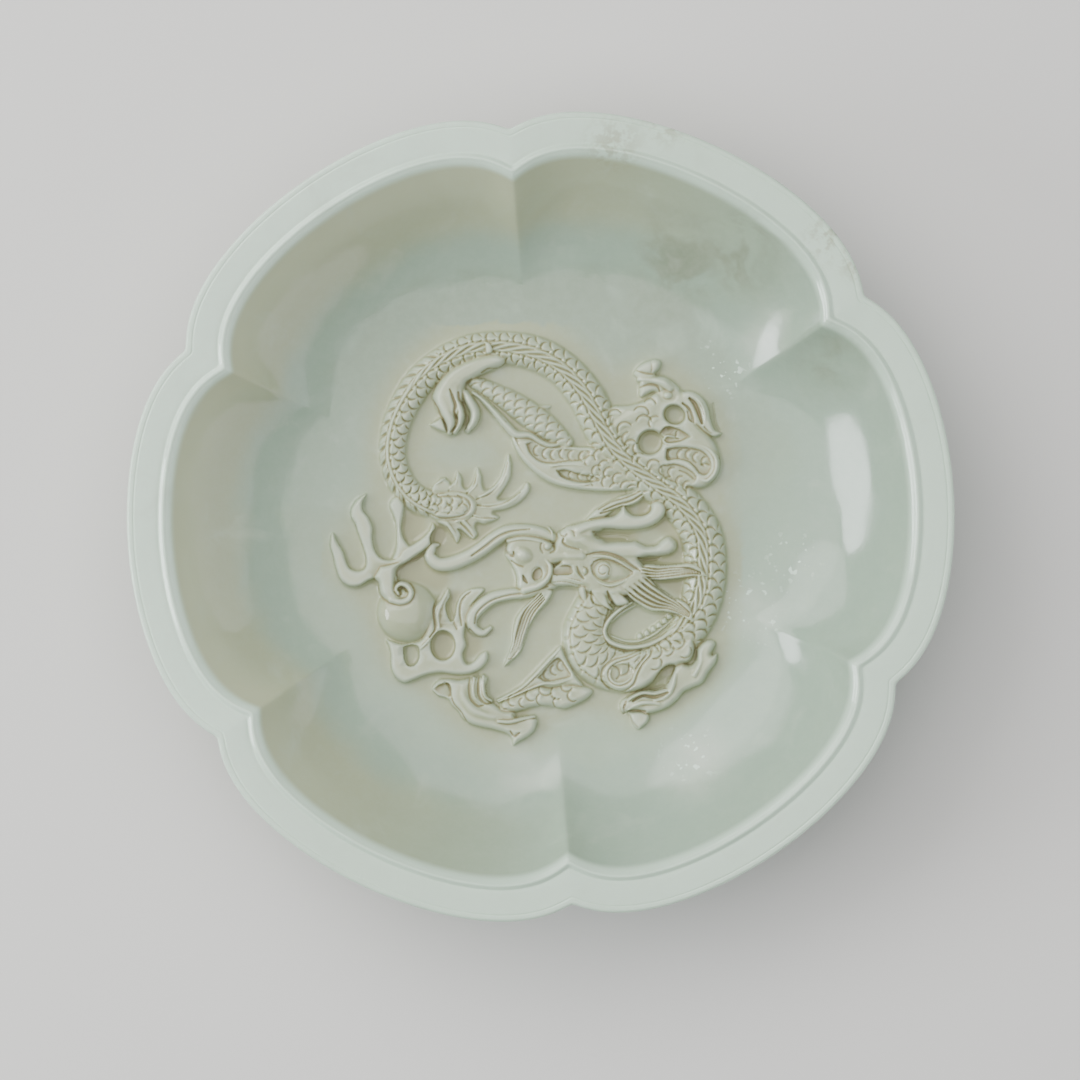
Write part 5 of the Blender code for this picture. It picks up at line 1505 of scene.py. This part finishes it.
# Each soft oval light: its setting, azimuth, elevation, distance, size and tint
SOFTBOXES = (("window", 186, 22, 0.9, (0.46, 0.36), (0.95, 0.98, 1.0)),
             ("fill", 345, 18, 1.3, (2.2, 0.9), (0.95, 0.97, 1.0)),
             ("key", 142, 38, 1.3, (1.3, 1.0), (1.0, 0.98, 0.95)))
CEILING = {"azimuth": 135, "offset": 1.7, "height": 2.4, "size": 5.0, "tint": (1.0, 0.98, 0.95)}


def point_at(obj, target):
    """Turns a light towards a point."""
    direction = Vector(target) - obj.location
    obj.rotation_euler = direction.to_track_quat("-Z", "Y").to_euler()


def add_softbox(name, azimuth, elevation, distance, size, tint, power, target):
    """A soft oval light that points at a target."""
    a, e = math.radians(azimuth), math.radians(elevation)
    bpy.ops.object.light_add(type="AREA", location=(
        target[0] + distance * math.cos(e) * math.cos(a),
        target[1] + distance * math.cos(e) * math.sin(a),
        target[2] + distance * math.sin(e)))
    light = bpy.context.object
    light.name = name
    light.data.shape = "ELLIPSE"
    light.data.size, light.data.size_y = size
    light.data.energy = power
    light.data.color = tint
    point_at(light, target)


def add_ceiling(name, azimuth, offset, height, size, power, tint):
    """A large square light that hangs level, moved off the middle."""
    a = math.radians(azimuth)
    bpy.ops.object.light_add(type="AREA", location=(offset * math.cos(a), offset * math.sin(a), height))
    light = bpy.context.object
    light.name = name
    light.data.size = size
    light.data.energy = power
    light.data.color = tint


# Settings in the sidebar

def distance(name, description, default):
    return FloatProperty(name=name, description=description, default=default, unit="LENGTH",
                         subtype="DISTANCE")


def watts(name, description, default):
    return FloatProperty(name=name, description=description, default=default, unit="POWER")


class JadeSaucerSizes(bpy.types.PropertyGroup):
    """The dish's sizes in metres."""

    length: distance("Length", "Widest reach of the lobes", 182.2 * MM)
    breadth: distance("Breadth", "Reach of the outline before its oval stretch", 180.2 * MM)
    rim_breadth: distance("Rim breadth", "From the outer edge to the top of the wall", 8.8 * MM)
    rim_thickness: distance("Rim thickness", "Thickness of the flat rim", 2.4 * MM)
    rim_fall: distance("Rim fall", "How far the rim drops towards the mouth", 0.8 * MM)
    edge_rounding: distance("Edge rounding", "Radius of the outer edge", 0.7 * MM)
    bead_breadth: distance("Bead breadth", "Breadth of the raised line at the mouth", 1.9 * MM)
    bead_height: distance("Bead height", "How far the line stands up", 0.5 * MM)
    notch_depth: distance("Notch depth", "How far the outline draws in between lobes", 4.4 * MM)
    ridge_depth: distance("Ridge depth", "How far a petal ridge stands in at the mouth", 6.0 * MM)
    cavity_depth: distance("Cavity depth", "From the mouth down to the floor", 20.5 * MM)
    cavity_curve: FloatProperty(name="Cavity curve", description="Power of the wall's curve", default=2.4)
    floor_radius: distance("Floor radius", "Where the wall begins to rise", 43.0 * MM)
    floor_thickness: distance("Floor thickness", "Stone left under the floor", 4.8 * MM)
    wall_at_rim: distance("Wall at rim", "Thickness of the wall under the rim", 3.0 * MM)
    foot_radius: distance("Foot radius", "Outside of the foot ring", 47.0 * MM)
    foot_width: distance("Foot width", "Breadth of the face it stands on", 4.6 * MM)
    foot_height: distance("Foot height", "Height of the foot ring", 4.0 * MM)
    foot_draft: distance("Foot draft", "How far the foot's sides slope", 0.8 * MM)
    foot_notch: distance("Foot notch", "How far the foot draws in between lobes", 2.2 * MM)
    relief_width: distance("Relief width", "From the flames to the dragon's back", 90.2 * MM)


def colour(name, description, value):
    return FloatVectorProperty(name=name, description=description, default=value, size=4, min=0.0, max=1.0,
                               subtype="COLOR")


class JadeSaucerColours(bpy.types.PropertyGroup):
    """The colours that the stone is mixed from."""

    stone: colour("Stone", "Grey-green of the floor", (0.345, 0.445, 0.33, 1.0))
    upper_darkening: colour("Dense stone", "Darker stone toward the top of the photograph", (0.255, 0.335, 0.248, 1.0))
    cloud: colour("Cloud", "Cooler clouding of the floor", (0.35, 0.475, 0.365, 1.0))
    wall: colour("Wall", "Sea green of the lower wall", (0.31, 0.42, 0.33, 1.0))
    # Beige that is partly painted shade on the walls that face away from the light
    warm_wall_and_shade: colour("Warm wall", "Beige of the upper left wall", (0.39, 0.43, 0.275, 1.0))
    glow: colour("Glow", "Light through the thin stone at the left", (0.52, 0.56, 0.38, 1.0))
    relief: colour("Relief", "Beige of the carved ground", (0.355, 0.40, 0.252, 1.0))
    # Partly painted light on the open flat rim
    rim: colour("Rim", "Bluish white of the rim", (0.55, 0.71, 0.585, 1.0))
    # Painted light on the rim where it faces the window, also used for painted glints
    lit_rim_and_glints: colour("Pale rim", "The rim where it faces the window", (0.68, 0.86, 0.74, 1.0))
    grey_cloud: colour("Grey cloud", "Clouds on the upper right wall", (0.22, 0.265, 0.18, 1.0))
    # Soft white veils of the stone, also used for painted sheen and painted highlight on fine edges
    pale_wisp_and_highlight: colour("Pale wisp", "Soft white veils", (0.48, 0.57, 0.47, 1.0))
    # Olive ground, darkened as painted shade near and between the forms
    hollow: colour("Hollow", "Olive ground between the forms", (0.315, 0.33, 0.185, 1.0))
    # Brown in the cuts, partly painted shade there, and the wear on the rim
    brown_wear_and_shade: colour("Crevice", "Brown left in the cuts", (0.25, 0.225, 0.11, 1.0))
    stain: colour("Stain", "Brown skin of the stone in the deepest cuts", (0.14, 0.085, 0.035, 1.0))
    # Painted highlight on the crests of the forms
    crest_highlight: colour("Polish", "Rubbed crests", (0.505, 0.56, 0.40, 1.0))


class JadeSaucerStudio(bpy.types.PropertyGroup):
    """The lights and the camera."""

    key_power: watts("Key power", "Light from the upper left", 10.0)
    window_power: watts("Window power", "Low light at the left", 5.0)
    fill_power: watts("Fill power", "Light at the right", 6.5)
    top_power: watts("Top power", "Large soft light overhead", 142.0)
    world: FloatProperty(name="Surroundings", description="Brightness of the room", default=0.15)
    camera_height: distance("Camera height", "From the rim up to the camera", 2.0)
    frame_width: distance("Frame width", "What the photograph spans at the rim", 0.2376)


# Operators

class SAUCER_OT_shape_dish(bpy.types.Operator):
    """Shapes the lobed dish, its rim and its foot"""
    bl_idname = "saucer.shape_dish"
    bl_label = "Shape the dish"

    def execute(self, context):
        model_dish(Section(context.scene.jade_saucer_sizes))
        return {"FINISHED"}


class SAUCER_OT_carve_relief(bpy.types.Operator):
    """Carves the dragon and the pearl, and sews them into the dish"""
    bl_idname = "saucer.carve_relief"
    bl_label = "Carve the relief"

    def execute(self, context):
        sizes = context.scene.jade_saucer_sizes
        relief, carving, pixel = model_relief(Section(sizes), sizes.relief_width)
        stone = sew(bpy.data.objects["dish"], relief)
        stone.name = "carved_saucer"
        stone.data.name = "carved_saucer"
        write_masks(stone, carving, pixel)
        shade_from_heights(stone, Section(sizes), carving, pixel)
        stone.data.materials.clear()
        stone.data.materials.append(jade_material(context.scene.jade_saucer_colours))
        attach(stone, "root")
        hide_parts("saucer")
        return {"FINISHED"}


class SAUCER_OT_set_studio(bpy.types.Operator):
    """Sets the floor, the lights and the camera"""
    bl_idname = "saucer.set_studio"
    bl_label = "Set the studio"

    def execute(self, context):
        studio = context.scene.jade_saucer_studio
        rim = CAD_HIGH[2]
        deselect()
        bpy.ops.mesh.primitive_plane_add(size=FLOOR_BREADTH, location=(0.0, 0.0, 0.0))
        floor = context.object
        floor.name = "studio_floor"
        paper = bpy.data.materials.new("pale_paper")
        paper.use_nodes = True
        shader = paper.node_tree.nodes["Principled BSDF"]
        shader.inputs["Base Color"].default_value = PAPER_COLOUR
        shader.inputs["Roughness"].default_value = PAPER_ROUGHNESS
        floor.data.materials.append(paper)
        target = (0.0, 0.0, rim / 2)
        for name, *place in SOFTBOXES:
            add_softbox(name + "_softbox", *place, getattr(studio, name + "_power"), target)
        add_ceiling("ceiling_softbox", power=studio.top_power, **CEILING)
        world = bpy.data.worlds.new("pale_room")
        world.use_nodes = True
        background = world.node_tree.nodes["Background"]
        background.inputs["Color"].default_value = ROOM_COLOUR
        background.inputs["Strength"].default_value = studio.world
        context.scene.world = world
        view_x = (PHOTO_SIZE / 2 - DISH_MIDDLE_PX[0]) * studio.frame_width / PHOTO_SIZE
        view_y = (DISH_MIDDLE_PX[1] - PHOTO_SIZE / 2) * studio.frame_width / PHOTO_SIZE
        bpy.ops.object.camera_add(location=(view_x, view_y, rim + studio.camera_height),
                                  rotation=(0.0, 0.0, 0.0))
        camera = context.object
        camera.name = "overhead_camera"
        camera.data.sensor_width = SENSOR_MM
        camera.data.lens = SENSOR_MM * studio.camera_height / studio.frame_width
        context.scene.camera = camera
        return {"FINISHED"}


class SAUCER_PT_panel(bpy.types.Panel):
    """The saucer's sizes, colours and steps"""
    bl_label = "Carved jade saucer"
    bl_idname = "SAUCER_PT_panel"
    bl_space_type = "VIEW_3D"
    bl_region_type = "UI"
    bl_category = "Saucer"

    def draw(self, context):
        layout = self.layout
        for title, group in (("Sizes", context.scene.jade_saucer_sizes),
                             ("Colours", context.scene.jade_saucer_colours),
                             ("Studio", context.scene.jade_saucer_studio)):
            box = layout.box()
            box.label(text=title)
            for name in group.__annotations__:
                box.prop(group, name)
        for step in STEPS:
            layout.operator(step)


CLASSES = (JadeSaucerSizes, JadeSaucerColours, JadeSaucerStudio, SAUCER_OT_shape_dish,
           SAUCER_OT_carve_relief, SAUCER_OT_set_studio, SAUCER_PT_panel)
STEPS = ("saucer.shape_dish", "saucer.carve_relief", "saucer.set_studio")


def register():
    for cls in CLASSES:
        bpy.utils.register_class(cls)
    bpy.types.Scene.jade_saucer_sizes = PointerProperty(type=JadeSaucerSizes)
    bpy.types.Scene.jade_saucer_colours = PointerProperty(type=JadeSaucerColours)
    bpy.types.Scene.jade_saucer_studio = PointerProperty(type=JadeSaucerStudio)


def unregister():
    del bpy.types.Scene.jade_saucer_studio
    del bpy.types.Scene.jade_saucer_colours
    del bpy.types.Scene.jade_saucer_sizes
    for cls in reversed(CLASSES):
        bpy.utils.unregister_class(cls)


def main():
    register()
    bpy.ops.saucer.shape_dish()
    bpy.ops.saucer.carve_relief()
    bpy.ops.saucer.set_studio()


if __name__ == "__main__":
    main()
